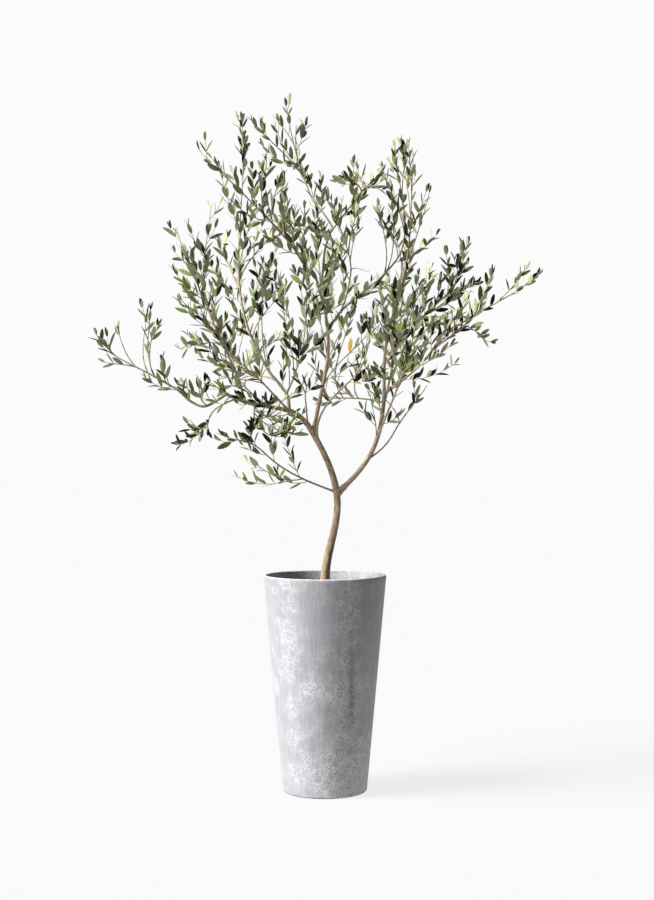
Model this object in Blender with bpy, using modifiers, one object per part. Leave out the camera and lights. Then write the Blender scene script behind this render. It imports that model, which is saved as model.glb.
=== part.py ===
"""Potted olive tree: a young olive about 1.5 m tall in a tall tapered pot, 2.1 m in all.

Metres, +Z up. The origin is the middle of the pot's flat underside and the view is along +Y.
Pot and soil are turned shapes. The trunk and the boughs are tapering tubes on smooth paths, each
starting on its parent's centreline, or carrying on from its parent's tip, and trimmed 0.3 mm clear
of it. Every mass of foliage is one fused solid: a stem from its bough's tip, side twigs and shoots
that branch by a seeded rule, and opposite pairs of leaves, all kept to the mass's own space.
"""

import math

import bmesh
import bpy
import numpy as np
from mathutils import Matrix

# Pot and soil
POT_HEIGHT = 0.650
POT_RIM_RADIUS = 0.185
POT_FOOT_RADIUS = 0.127
POT_WALL = 0.009
POT_FLOOR = 0.014
RIM_ROUND_POINTS = 5
FOOT_ROUND = 0.006
FOOT_ROUND_POINTS = 4
SOIL_BELOW_RIM = 0.050
SOIL_TOP = POT_HEIGHT - SOIL_BELOW_RIM
TURNED_STEPS = 32
TOUCH_GAP = 0.0003

# Trunk: the four handles of its curve, a lean to the right and then a sweep back to the left.
TRUNK_HANDLES = (
    (-0.001, 0.0, SOIL_TOP + TOUCH_GAP),
    (-0.005, 0.0, 0.790),
    (0.115, 0.0, 0.840),
    (-0.050, 0.0, 1.0985),
)
TRUNK_RADIUS_AT_FOOT = 0.0126
TRUNK_RADIUS_AT_TIP = 0.0080
FLARE_WIDTH = 0.0045
FLARE_HEIGHT = 0.040
FOOT_BELOW_CUT = 0.010
TRUNK_STEPS = 16
TRUNK_ROUNDNESS = 3

# Limbs: parent, share of the parent where it leaves (1 carries on from the tip), tip,
# bow of the root half and of the tip half, radii at root and tip.
LIMBS = {
    "left_bough": (
        "trunk", 1.0, (-0.290, -0.060, 1.190),
        (0.005, 0, -0.005), (0.010, 0, -0.020), (0.0076, 0.005),
    ),
    "centre_bough": (
        "trunk", 0.97, (-0.025, 0, 1.535),
        (0.040, 0.010, 0.070), (0.065, 0.020, -0.040), (0.0062, 0.004),
    ),
    "centre_right_bough": (
        "trunk", 0.94, (0.080, -0.140, 1.235),
        (-0.045, 0, 0.025), (-0.020, 0, 0.010), (0.0034, 0.0026),
    ),
    "right_bough": (
        "trunk", 0.66, (0.180, 0.030, 1.185),
        (0.060, 0, 0), (0.035, 0, -0.040), (0.0078, 0.006),
    ),
    "low_left_bough": (
        "trunk", 0.67, (-0.190, -0.040, 1.025),
        (-0.010, 0, -0.010), (-0.010, 0, -0.025), (0.003, 0.0022),
    ),
    "low_tuft_bough": (
        "low_left_bough", 0.42, (-0.120, -0.095, 0.940),
        (0, 0, -0.005), (0, 0, -0.005), (0.0019, 0.0017),
    ),
    "far_left_bough": (
        "left_bough", 1.0, (-0.490, -0.080, 1.235),
        (-0.035, 0, -0.115), (0.015, 0, -0.010), (0.0046, 0.003),
    ),
    "droop_bough": (
        "left_bough", 0.92, (-0.355, -0.030, 1.105),
        (-0.010, 0, 0.010), (-0.020, 0, 0.020), (0.0026, 0.0022),
    ),
    "left_column_bough": (
        "left_bough", 0.85, (-0.290, -0.110, 1.315),
        (0.010, -0.010, 0), (0.005, 0, 0), (0.0036, 0.0028),
    ),
    "left_under_bough": (
        "left_bough", 0.76, (-0.185, -0.080, 1.085),
        (-0.015, 0, -0.010), (-0.015, 0, -0.010), (0.0022, 0.0019),
    ),
    "upper_left_bough": (
        "left_bough", 0.43, (-0.205, 0.020, 1.330),
        (0.045, 0, 0.010), (0.010, 0, -0.045), (0.005, 0.0036),
    ),
    "left_rise_bough": (
        "left_bough", 0.66, (-0.230, -0.020, 1.205),
        (0, 0, 0), (0, 0, 0), (0.003, 0.0026),
    ),
    "back_left_bough": (
        "upper_left_bough", 0.6, (-0.245, 0.170, 1.270),
        (0, 0, 0), (0, 0, 0), (0.0034, 0.0026),
    ),
    "left_inner_bough": (
        "upper_left_bough", 0.3, (-0.060, -0.120, 1.320),
        (0.005, 0, -0.005), (-0.005, 0, 0), (0.0032, 0.0024),
    ),
    "leader_bough": (
        "centre_bough", 0.94, (0.020, -0.010, 1.695),
        (0.005, 0, 0), (-0.020, 0, 0), (0.004, 0.0032),
    ),
    "left_diagonal_bough": (
        "centre_bough", 1.0, (-0.140, -0.080, 1.680),
        (-0.025, 0, -0.025), (0.015, 0, 0.005), (0.0036, 0.0028),
    ),
    "top_bough": (
        "leader_bough", 1.0, (-0.060, 0.020, 1.840),
        (-0.025, 0, -0.020), (-0.020, 0, -0.015), (0.003, 0.0024),
    ),
    "arch_bough": (
        "leader_bough", 0.94, (0.105, -0.030, 1.795),
        (0, 0, 0), (0, 0, 0), (0.003, 0.0024),
    ),
    "link_bough": (
        "centre_bough", 0.66, (0.200, 0.060, 1.585),
        (-0.035, 0, 0.025), (0.010, 0, 0), (0.0036, 0.0028),
    ),
    "right_inner_bough": (
        "link_bough", 0.27, (0.075, -0.110, 1.540),
        (0.005, 0, 0), (0.005, 0, 0), (0.0028, 0.0022),
    ),
    "back_bough": (
        "centre_bough", 0.62, (-0.010, 0.190, 1.530),
        (0, 0, 0), (0, 0, 0), (0.0036, 0.0026),
    ),
    "centre_low_bough": (
        "left_bough", 0.16, (-0.058, -0.080, 1.180),
        (0, 0, 0), (0, 0, 0), (0.0026, 0.0022),
    ),
    "front_bough": (
        "left_bough", 0.42, (-0.170, -0.200, 1.210),
        (0, -0.020, 0), (0, 0, 0), (0.0036, 0.0026),
    ),
    "right_column_bough": (
        "right_bough", 1.0, (0.215, 0.010, 1.455),
        (-0.015, 0, 0.005), (-0.025, 0, 0), (0.0056, 0.0034),
    ),
    "right_reach_bough": (
        "right_column_bough", 0.19, (0.330, -0.035, 1.335),
        (0.005, 0, -0.005), (0.010, 0, -0.015), (0.004, 0.0028),
    ),
    "right_crown_bough": (
        "right_column_bough", 0.72, (0.335, 0.050, 1.455),
        (0, 0, 0), (0, 0, 0), (0.0034, 0.0026),
    ),
    "right_low_bough": (
        "right_bough", 0.39, (0.220, 0.080, 1.095),
        (0.010, 0, -0.010), (0.010, 0, -0.010), (0.003, 0.0024),
    ),
    "cross_bough": (
        "right_bough", 0.96, (0.025, 0.060, 1.185),
        (0, 0, 0.010), (0, 0, 0.005), (0.0026, 0.0022),
    ),
    "front_right_bough": (
        "right_bough", 0.62, (0.205, -0.150, 1.190),
        (0, 0, 0), (0, 0, 0), (0.0038, 0.0028),
    ),
    "back_right_bough": (
        "right_bough", 0.88, (0.225, 0.190, 1.350),
        (0, 0, 0), (0, 0.010, 0), (0.0038, 0.0028),
    ),
}
LEAD_LENGTH = 0.004
LIMB_STEPS = (4, 8)
LIMB_STEP_LENGTH = 0.045
LIMB_ROUNDNESS = 1
TRIM_GAP = 1.5 * TOUCH_GAP
NEAR_TIP_SHARE = 0.85

# Masses: the limb whose tip carries the stem, how full of shoots it is, the stem's tip,
# then each named side twig as its share of the stem and its tip.
MASSES = {
    "far_left_leaves": (
        "far_left_bough", 0.5, (-0.685, -0.100, 1.355),
        (0.08, (-0.515, -0.100, 1.480)),
        (0.42, (-0.630, -0.050, 1.425)),
    ),
    "droop_leaves": (
        "droop_bough", 1.0, (-0.445, -0.070, 1.100),
        (0.2, (-0.385, 0.030, 1.045)),
    ),
    "low_left_leaves": (
        "low_left_bough", 1.0, (-0.335, -0.070, 1.085),
        (0.2, (-0.245, -0.100, 1.085)),
    ),
    "low_tuft_leaves": (
        "low_tuft_bough", 1.0, (-0.225, -0.130, 1.005),
        (0.2, (-0.160, -0.070, 0.990)),
    ),
    "left_under_leaves": (
        "left_under_bough", 1.2, (-0.095, -0.110, 1.070),
        (0.1, (-0.200, -0.140, 1.130)),
        (0.4, (-0.075, -0.050, 1.140)),
    ),
    "left_rise_leaves": (
        "left_rise_bough", 0.9, (-0.295, 0.050, 1.460),
        (0.06, (-0.370, 0.050, 1.215)),
        (0.1, (-0.165, 0.020, 1.260)),
    ),
    "left_column_leaves": (
        "left_column_bough", 0.85, (-0.425, -0.050, 1.655),
        (0.06, (-0.450, -0.120, 1.335)),
        (0.14, (-0.440, -0.180, 1.490)),
        (0.3, (-0.370, -0.140, 1.590)),
    ),
    "upper_left_leaves": (
        "upper_left_bough", 0.55, (-0.250, 0.060, 1.985),
        (0.06, (-0.105, 0.060, 1.550)),
        (0.25, (-0.345, 0.160, 1.720)),
        (0.35, (-0.120, 0.120, 1.760)),
    ),
    "left_diagonal_leaves": (
        "left_diagonal_bough", 0.5, (-0.355, -0.100, 1.920),
        (0.08, (-0.130, -0.120, 1.850)),
        (0.16, (-0.215, -0.200, 1.760)),
    ),
    "top_leaves": (
        "top_bough", 0.5, (-0.125, 0.030, 2.110),
        (0.06, (-0.240, -0.020, 2.045)),
        (0.25, (-0.100, 0.140, 1.900)),
    ),
    "arch_leaves": (
        "arch_bough", 0.9, (0.190, 0, 1.890),
        (0.08, (0.030, -0.080, 1.850)),
        (0.2, (0.080, 0.070, 1.870)),
        (0.3, (0.190, -0.100, 1.790)),
    ),
    "right_inner_leaves": (
        "right_inner_bough", 0.8, (0.010, -0.150, 1.790),
        (0.1, (0.160, -0.200, 1.540)),
        (0.2, (0.085, -0.220, 1.640)),
        (0.3, (-0.090, -0.180, 1.700)),
    ),
    "link_leaves": (
        "link_bough", 0.9, (0.210, 0.050, 1.990),
        (0.1, (0.160, 0.140, 1.760)),
        (0.35, (0.200, 0.160, 1.880)),
    ),
    "right_column_leaves": (
        "right_column_bough", 0.5, (0.265, -0.060, 1.935),
        (0.06, (0.160, -0.110, 1.540)),
        (0.2, (0.325, 0.020, 1.845)),
    ),
    "right_crown_leaves": (
        "right_crown_bough", 0.65, (0.440, 0, 1.685),
        (0.08, (0.420, 0.140, 1.520)),
        (0.25, (0.480, -0.060, 1.540)),
    ),
    "right_reach_leaves": (
        "right_reach_bough", 0.55, (0.660, -0.050, 1.575),
        (0.06, (0.415, -0.130, 1.430)),
        (0.25, (0.505, 0.050, 1.370)),
    ),
    "right_low_leaves": (
        "right_low_bough", 0.5, (0.335, 0.120, 1.260),
        (0.1, (0.155, 0.130, 1.230)),
        (0.3, (0.290, 0.020, 1.200)),
    ),
    "cross_leaves": (
        "cross_bough", 1.0, (0.050, 0.070, 1.400),
        (0.1, (0, 0.140, 1.310)),
        (0.3, (0.150, 0.080, 1.410)),
    ),
    "centre_right_leaves": (
        "centre_right_bough", 1.0, (0.145, -0.200, 1.470),
        (0.08, (0.045, -0.220, 1.310)),
        (0.14, (0.170, -0.120, 1.270)),
    ),
    "left_inner_leaves": (
        "left_inner_bough", 0.7, (-0.075, -0.140, 1.530),
        (0.06, (-0.140, -0.170, 1.370)),
        (0.4, (0.010, -0.100, 1.460)),
    ),
    "centre_low_leaves": (
        "centre_low_bough", 1.2, (-0.020, -0.130, 1.300),
        (0.15, (-0.105, -0.130, 1.280)),
    ),
    "front_leaves": (
        "front_bough", 0.9, (-0.310, -0.360, 1.360),
        (0.08, (-0.330, -0.270, 1.250)),
        (0.15, (-0.130, -0.360, 1.300)),
        (0.3, (-0.220, -0.400, 1.330)),
    ),
    "back_leaves": (
        "back_bough", 1.0, (-0.040, 0.300, 1.840),
        (0.1, (0.090, 0.340, 1.700)),
        (0.2, (-0.140, 0.340, 1.730)),
        (0.06, (0.020, 0.360, 1.570)),
    ),
    "front_right_leaves": (
        "front_right_bough", 0.9, (0.270, -0.360, 1.450),
        (0.08, (0.130, -0.300, 1.280)),
        (0.15, (0.340, -0.240, 1.320)),
        (0.3, (0.190, -0.380, 1.400)),
    ),
    "back_right_leaves": (
        "back_right_bough", 0.9, (0.350, 0.360, 1.640),
        (0.06, (0.110, 0.340, 1.420)),
        (0.15, (0.230, 0.400, 1.580)),
        (0.25, (0.425, 0.300, 1.480)),
    ),
    "back_left_leaves": (
        "back_left_bough", 0.9, (-0.400, 0.330, 1.545),
        (0.06, (-0.110, 0.360, 1.440)),
        (0.15, (-0.220, 0.380, 1.560)),
        (0.25, (-0.440, 0.260, 1.400)),
    ),
}

# How the twigs grow
STEM_STEPS = 6
SIDE_STEPS = 4
SHOOT_STEPS = 3
STEM_TIP_RADIUS = 0.0014
SIDE_RADII = (0.0020, 0.0016)
SHOOT_RADII = (0.0017, 0.0015)
TIP_RISE = 0.4
SHOOT_SPACING = 0.102
LAST_SHOOT_SHARE = 0.4
SHOOT_ANGLE = math.radians(42)
SHOOT_RISE = 0.55
SHOOT_LENGTHS = (0.075, 0.190)
SHOOT_SHARE = 0.60
SHOOT_LENGTH_SPREAD = (0.80, 1.25)
LEAST_SHOOT = 0.050
LEAST_TWIG = 0.035
OTHER_TURNS = (0.0, 0.9, -0.9, 1.8, -1.8)
GOLDEN_ANGLE = math.radians(137.5)

# Leaves, larger and fewer than on the plant
LEAF_LENGTH = 0.080
LEAF_LENGTH_SPREAD = (0.85, 1.12)
LEAF_WIDTH = 0.0230
LEAF_THICKNESS = 0.0022
LEAF_SPACING = 0.097
LAST_LEAF_SHARE = 0.35
FIRST_LEAF_ON_STEM = 0.030
FIRST_LEAF_ON_SHOOT = 0.040
LEAF_ANGLE = math.radians(42)
TIP_LEAF_ANGLE = math.radians(8)
TIP_LEAF_SINK = 0.003
TIP_LEAF_REACH = 0.070
LEAF_LIFT = 0.20
LEAF_SINK = 0.0003
PAIR_STAGGER = 0.0025
LEAF_WIDEST = 0.45
LEAF_TURN_SPREAD = 0.25
LEAF_ANGLE_SPREAD = 0.12
LEAF_CHECKS = np.array((0.2, 0.4, 0.6, 0.8, 1.0))

# Each mass keeps this clear of its neighbours' twigs and of the limbs.
SPACE_MARGIN = 0.004
LIMB_MARGIN = 0.003
SPACE_SAMPLE = 0.008
LIMB_SAMPLE = 0.004
SHOOT_SAMPLE = 0.006
SEED = 20
UP = np.array((0.0, 0.0, 1.0))
NEARLY_UPRIGHT = 0.001

# Base colours, roughness
POT_LOOK = ((0.40, 0.40, 0.41), 0.75)
SOIL_LOOK = ((0.05, 0.035, 0.025), 0.95)
BARK_LOOK = ((0.30, 0.22, 0.16), 0.85)
LEAF_LOOK = ((0.13, 0.17, 0.08), 0.55)
SHARP_EDGE = math.radians(35)
WELD = 0.000001
SCREW_WELD = 0.0001


def unit(vector):
    """The vector at length 1."""
    return vector / np.linalg.norm(vector)


def curve_points(handles, steps):
    """Points of the cubic curve with these four handles, evenly spaced in its parameter."""
    t = np.linspace(0.0, 1.0, steps)[:, None]
    a, b, c, d = (np.asarray(handle, float) for handle in handles)
    return (1 - t) ** 3 * a + 3 * (1 - t) ** 2 * t * b + 3 * (1 - t) * t**2 * c + t**3 * d


def travelled(path):
    """Distance run along a path at each of its points."""
    steps = np.linalg.norm(np.diff(path, axis=0), axis=1)
    return np.concatenate([[0.0], np.cumsum(steps)])


def at_share(path, share):
    """Point and direction at a share of a path's points."""
    place = share * (len(path) - 1)
    low = min(int(place), len(path) - 2)
    step = path[low + 1] - path[low]
    return path[low] + step * (place - low), unit(step)


def at_distance(path, distance):
    """Point and direction at a distance along a path."""
    run = travelled(path)
    low = int(np.clip(np.searchsorted(run, distance, side="right") - 1, 0, len(path) - 2))
    step = path[low + 1] - path[low]
    return path[low] + step * (distance - run[low]) / (run[low + 1] - run[low]), unit(step)


def resampled(path, stations):
    """The path's points at these distances along it."""
    run = travelled(path)
    return np.column_stack([np.interp(stations, run, path[:, axis]) for axis in range(3)])


def dense(path, spacing):
    """The path with a point about every spacing."""
    length = travelled(path)[-1]
    return resampled(path, np.linspace(0.0, length, max(2, int(length / spacing) + 1)))


def limb_path(start, heading, tip, root_bow, tip_bow):
    """Path of a limb. One that carries on from its parent's tip first runs straight on."""
    chord = tip - start
    length = np.linalg.norm(chord)
    steps = int(np.clip(round(length / LIMB_STEP_LENGTH), *LIMB_STEPS))
    last = tip - chord / 3 + tip_bow
    if heading is None:
        return curve_points((start, start + chord / 3 + root_bow, last, tip), steps)
    lead = start + heading * LEAD_LENGTH
    path = curve_points((lead, lead + heading * length / 3 + root_bow, last, tip), steps)
    return np.vstack([start, path])


def grow_limbs():
    """Every limb's path and the radius at each of its points, by name."""
    trunk = curve_points(TRUNK_HANDLES, TRUNK_STEPS)
    height = trunk[:, 2] - trunk[0, 2]
    taper = np.linspace(TRUNK_RADIUS_AT_FOOT, TRUNK_RADIUS_AT_TIP, TRUNK_STEPS)
    paths = {"trunk": trunk}
    radii = {"trunk": taper + FLARE_WIDTH * np.exp(-height / FLARE_HEIGHT)}
    for name, (parent, share, tip, root_bow, tip_bow, ends) in LIMBS.items():
        start, heading = at_share(paths[parent], share)
        if share == 1.0:
            start = start + heading * TOUCH_GAP
        else:
            heading = None
        tip = np.array(tip)
        paths[name] = limb_path(start, heading, tip, np.array(root_bow), np.array(tip_bow))
        radii[name] = np.linspace(*ends, len(paths[name]))
    return paths, radii


def rising_handle(start, tip):
    """Last handle of a twig whose end turns upwards."""
    chord = tip - start
    return tip - unit(unit(chord) + TIP_RISE * UP) * np.linalg.norm(chord) / 3


def short_of_tip(path):
    """The path without the stretch that the leaf at its tip covers."""
    kept = max(travelled(path)[-1] - TIP_LEAF_REACH, LEAST_TWIG)
    return resampled(path, np.linspace(0.0, kept, len(path)))


def stem_path(limb, tip):
    """A mass's stem, which carries on from its limb's tip."""
    start, heading = at_share(limb, 1.0)
    start = start + heading * TOUCH_GAP
    lead = start + heading * LEAD_LENGTH
    reach = np.linalg.norm(tip - lead) / 3
    path = curve_points((lead, lead + heading * reach, rising_handle(lead, tip), tip), STEM_STEPS)
    return np.vstack([start, short_of_tip(path)])


def side_path(stem, share, tip):
    """A named side twig, from a share of the stem to its tip."""
    start, lean = at_distance(stem, share * travelled(stem)[-1])
    chord = tip - start
    first = start + unit(lean + unit(chord)) * np.linalg.norm(chord) / 3
    return short_of_tip(curve_points((start, first, rising_handle(start, tip), tip), SIDE_STEPS))


def square_to(direction, turn):
    """Unit vector square to a direction, turned about it from the level."""
    level = np.cross(UP, direction)
    level = unit(level) if np.linalg.norm(level) > NEARLY_UPRIGHT else np.array((1.0, 0.0, 0.0))
    return math.cos(turn) * level + math.sin(turn) * np.cross(direction, level)


def shoot_path(start, lean, turn, length):
    """A shoot that leaves a twig at a slant and then bends upwards."""
    out = unit(math.cos(SHOOT_ANGLE) * lean + math.sin(SHOOT_ANGLE) * square_to(lean, turn))
    risen = unit(out + SHOOT_RISE * UP)
    third = length / 3
    first = start + out * third
    second = first + unit(out + risen) * third
    return curve_points((start, first, second, second + risen * third), SHOOT_STEPS)


class Space:
    """Which mass a point belongs to, and whether it is clear of the limbs."""

    def __init__(self, leaders, limbs, radii):
        points = {name: [dense(path, SPACE_SAMPLE) for path in own] for name, own in leaders.items()}
        self.names = list(leaders)
        self.points = np.vstack([path for own in points.values() for path in own])
        counts = [sum(len(path) for path in own) for own in points.values()]
        self.owners = np.repeat(np.arange(len(counts)), counts)
        runs = {name: dense(path, LIMB_SAMPLE) for name, path in limbs.items()}
        self.limb_points = np.vstack(list(runs.values()))
        self.limb_radii = np.concatenate(
            [np.interp(np.linspace(0, 1, len(run)), np.linspace(0, 1, len(radii[name])), radii[name])
             for name, run in runs.items()]
        )

    def owned(self, name, points):
        """Nearer to this mass's twigs than to any other's, by the margin."""
        away = np.linalg.norm(points[:, None] - self.points[None], axis=2)
        own = self.owners == self.names.index(name)
        return away[:, own].min(axis=1) + SPACE_MARGIN < away[:, ~own].min(axis=1)

    def clear(self, points):
        """Clear of every limb's surface by the margin."""
        away = np.linalg.norm(points[:, None] - self.limb_points[None], axis=2)
        return (away - self.limb_radii).min(axis=1) > LIMB_MARGIN


def trimmed(name, path, space):
    """The run of a shoot that stays in its mass's space, or None where it is too short."""
    run = dense(path, SHOOT_SAMPLE)
    clear = space.clear(run)
    clear[:2] = True
    good = space.owned(name, run) & clear
    kept = len(run) if good.all() else int(np.argmin(good)) - 1
    if (kept - 1) * SHOOT_SAMPLE < LEAST_SHOOT:
        return None
    return resampled(path, np.linspace(0.0, travelled(run[:kept])[-1], SHOOT_STEPS))


def grow_shoots(name, leaders, space, random):
    """Shoots along a mass's leading twigs, each turned on from the last by the golden angle."""
    shoots = []
    turn = random.uniform(0, 2 * math.pi)
    spacing = SHOOT_SPACING / MASSES[name][1]
    for leader in leaders:
        run = travelled(leader)[-1]
        for distance in np.arange(spacing / 2, run - LAST_SHOOT_SHARE * SHOOT_SPACING, spacing):
            turn += GOLDEN_ANGLE
            length = SHOOT_SHARE * (run - distance) * random.uniform(*SHOOT_LENGTH_SPREAD)
            length = float(np.clip(length, *SHOOT_LENGTHS))
            start, lean = at_distance(leader, distance)
            tries = (trimmed(name, shoot_path(start, lean, turn + other, length), space)
                     for other in OTHER_TURNS)
            path = next((path for path in tries if path is not None), None)
            if path is not None:
                shoots.append(path)
    return shoots


def place_of_leaf(point, lean, slant, turn, random):
    """A leaf's root, its three axes and its length, for a slant off the twig and a turn about it."""
    angle = slant + random.uniform(-LEAF_ANGLE_SPREAD, LEAF_ANGLE_SPREAD)
    length = LEAF_LENGTH * random.uniform(*LEAF_LENGTH_SPREAD)
    away = square_to(lean, turn)
    along = unit(math.cos(angle) * lean + math.sin(angle) * away + LEAF_LIFT * UP)
    face = unit(math.sin(angle) * lean - math.cos(angle) * away)
    across = unit(np.cross(face, along))
    return point - along * LEAF_SINK, along, across, np.cross(along, across), length


def leaf_fits(name, leaf, space):
    """Whether a leaf stays in its mass's space and clear of the limbs."""
    root, along, across, _, length = leaf
    line = root + along * length * LEAF_CHECKS[:, None]
    edges = root + along * length / 2 + across * LEAF_WIDTH * np.array((-0.5, 0.5))[:, None]
    checked = np.vstack([line, edges])
    return space.owned(name, checked).all() and space.clear(checked).all()


def grow_leaves(name, path, first, space, random):
    """Opposite pairs of leaves along a twig, each pair square to the last, and one at its tip."""
    leaves = []
    run = travelled(path)[-1]
    turn = random.uniform(0, 2 * math.pi)
    for station in np.arange(first, run - LAST_LEAF_SHARE * LEAF_SPACING, LEAF_SPACING):
        turn += math.pi / 2 + random.uniform(-LEAF_TURN_SPREAD, LEAF_TURN_SPREAD)
        for half in (-1, 1):
            point, lean = at_distance(path, station + half * PAIR_STAGGER)
            leaves.append(place_of_leaf(point, lean, LEAF_ANGLE, turn + half * math.pi / 2, random))
    point, lean = at_distance(path, run - TIP_LEAF_SINK)
    leaves.append(place_of_leaf(point, lean, TIP_LEAF_ANGLE, turn, random))
    return [leaf for leaf in leaves if leaf_fits(name, leaf, space)]


def grow_masses(limbs, radii):
    """Every mass's leading twigs, shoots and leaves, by name."""
    leaders = {}
    for name, (limb, _, tip, *sides) in MASSES.items():
        stem = stem_path(limbs[limb], np.array(tip))
        leaders[name] = [stem] + [side_path(stem, share, np.array(end)) for share, end in sides]
    space = Space(leaders, limbs, radii)
    masses = {}
    for index, (name, own) in enumerate(leaders.items()):
        random = np.random.default_rng(SEED + index)
        shoots = grow_shoots(name, own, space, random)
        leaves = []
        for path in own:
            leaves += grow_leaves(name, path, FIRST_LEAF_ON_STEM, space, random)
        for path in shoots:
            leaves += grow_leaves(name, path, FIRST_LEAF_ON_SHOOT, space, random)
        masses[name] = (own, shoots, leaves)
    return masses


def clear_scene():
    """Empties the scene."""
    for found in list(bpy.data.objects):
        bpy.data.objects.remove(found)


def new_collection(name):
    """A collection linked to the scene."""
    made = bpy.data.collections.new(name)
    bpy.context.scene.collection.children.link(made)
    return made


def new_material(name, look):
    """A Principled material with a base colour and a roughness."""
    colour, roughness = look
    made = bpy.data.materials.new(name)
    made.use_nodes = True
    shader = made.node_tree.nodes["Principled BSDF"]
    shader.inputs["Base Color"].default_value = (*colour, 1.0)
    shader.inputs["Roughness"].default_value = roughness
    shader.inputs["Metallic"].default_value = 0.0
    return made


def finish(piece, look):
    """Gives a piece its own material and smooth shading with sharp edges."""
    piece.data.materials.clear()
    piece.data.materials.append(new_material(piece.name + "_material", look))
    piece.data.shade_smooth()
    piece.data.set_sharp_from_angle(angle=SHARP_EDGE)
    return piece


def arc(centre, radius, from_angle, to_angle, count):
    """Points along a circular arc in the X-Z plane, angles from +X towards +Z."""
    angles = np.linspace(from_angle, to_angle, count)
    return [(centre[0] + radius * math.cos(a), centre[1] + radius * math.sin(a)) for a in angles]


def turned(name, profile, collection):
    """A solid of revolution about Z from a profile of (radius, height) points."""
    mesh = bpy.data.meshes.new(name)
    mesh.from_pydata([(x, 0.0, z) for x, z in profile], [(i, i + 1) for i in range(len(profile) - 1)], [])
    piece = bpy.data.objects.new(name, mesh)
    collection.objects.link(piece)
    screw = piece.modifiers.new("Turn", "SCREW")
    screw.steps = TURNED_STEPS
    screw.render_steps = TURNED_STEPS
    screw.use_merge_vertices = True
    screw.merge_threshold = SCREW_WELD
    return piece


def wall_radius(height):
    """Outer radius of the pot's straight side."""
    return POT_FOOT_RADIUS + (POT_RIM_RADIUS - POT_FOOT_RADIUS) * height / POT_HEIGHT


def make_pot(collection):
    """An open tapered shell with a rounded lip and a rounded foot edge."""
    half_wall = POT_WALL / 2
    lip_centre = (POT_RIM_RADIUS - half_wall, POT_HEIGHT - half_wall)
    foot_centre = (POT_FOOT_RADIUS - FOOT_ROUND, FOOT_ROUND)
    profile = [(0.0, POT_FLOOR), (wall_radius(POT_FLOOR) - POT_WALL, POT_FLOOR)]
    profile += arc(lip_centre, half_wall, math.pi, 0.0, RIM_ROUND_POINTS)
    profile += arc(foot_centre, FOOT_ROUND, 0.0, -math.pi / 2, FOOT_ROUND_POINTS)
    profile.append((0.0, 0.0))
    return finish(turned("pot", profile, collection), POT_LOOK)


def make_soil(collection):
    """The filling of the pot, a gap clear of its floor and wall, with a flat top."""
    bottom = POT_FLOOR + TOUCH_GAP
    inside = POT_WALL + 2 * TOUCH_GAP
    profile = [(0.0, SOIL_TOP), (wall_radius(SOIL_TOP) - inside, SOIL_TOP)]
    profile += [(wall_radius(bottom) - inside, bottom), (0.0, bottom)]
    return finish(turned("soil", profile, collection), SOIL_LOOK)


def mesh_of(curve_piece, collection):
    """Turns a curve object into a closed mesh object of the same name."""
    graph = bpy.context.evaluated_depsgraph_get()
    name = curve_piece.name
    mesh = bpy.data.meshes.new_from_object(curve_piece.evaluated_get(graph))
    shape = bmesh.new()
    shape.from_mesh(mesh)
    bmesh.ops.remove_doubles(shape, verts=shape.verts, dist=WELD)
    bmesh.ops.recalc_face_normals(shape, faces=shape.faces)
    shape.to_mesh(mesh)
    shape.free()
    matrix = curve_piece.matrix_world.copy()
    bpy.data.objects.remove(curve_piece)
    piece = bpy.data.objects.new(name, mesh)
    piece.matrix_world = matrix
    collection.objects.link(piece)
    return piece


def tube(name, path, radii, collection, roundness, section=None):
    """A tube with filled ends whose radius follows its path. A section replaces the round."""
    curve = bpy.data.curves.new(name, "CURVE")
    curve.dimensions = "3D"
    curve.use_fill_caps = True
    if section is None:
        curve.bevel_depth = 1.0
        curve.bevel_resolution = roundness
    else:
        curve.bevel_mode = "OBJECT"
        curve.bevel_object = section
    spline = curve.splines.new("POLY")
    spline.points.add(len(path) - 1)
    for point, place, radius in zip(spline.points, path, radii):
        point.co = (*place, 1.0)
        point.radius = radius
    piece = bpy.data.objects.new(name, curve)
    collection.objects.link(piece)
    return mesh_of(piece, collection)


def twig_section(collection):
    """The three-sided outline of a twig, of radius 1."""
    curve = bpy.data.curves.new("twig_section", "CURVE")
    curve.dimensions = "2D"
    spline = curve.splines.new("POLY")
    spline.points.add(2)
    for corner, point in enumerate(spline.points):
        turn = 2 * math.pi * corner / 3
        point.co = (math.cos(turn), math.sin(turn), 0.0, 1.0)
    spline.use_cyclic_u = True
    piece = bpy.data.objects.new("twig_section", curve)
    collection.objects.link(piece)
    hide(piece)
    return piece


def hide(piece):
    """Marks a helper, which is no part of the plant."""
    piece.hide_render = True
    piece.display_type = "WIRE"


def trim(piece, cutter):
    """Cuts a limb clear of the limb that it grows from."""
    cut = piece.modifiers.new("Trim at " + cutter.name, "BOOLEAN")
    cut.operation = "DIFFERENCE"
    cut.solver = "EXACT"
    cut.object = cutter


def make_ground(cutters):
    """A block whose top lies a gap above the soil, to cut the trunk's foot flat."""
    mesh = bpy.data.meshes.new("ground")
    shape = bmesh.new()
    bmesh.ops.create_cube(shape, size=POT_FOOT_RADIUS)
    bmesh.ops.translate(shape, verts=shape.verts, vec=(0, 0, SOIL_TOP + TOUCH_GAP - POT_FOOT_RADIUS / 2))
    shape.to_mesh(mesh)
    shape.free()
    piece = bpy.data.objects.new("ground", mesh)
    cutters.objects.link(piece)
    hide(piece)
    return piece


def trunk_tube(name, path, radii, collection):
    """The trunk's tube, a little too long at its foot."""
    foot = path[0] - FOOT_BELOW_CUT * UP
    return tube(name, [foot, *path], [radii[0], *radii], collection, TRUNK_ROUNDNESS)


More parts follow.
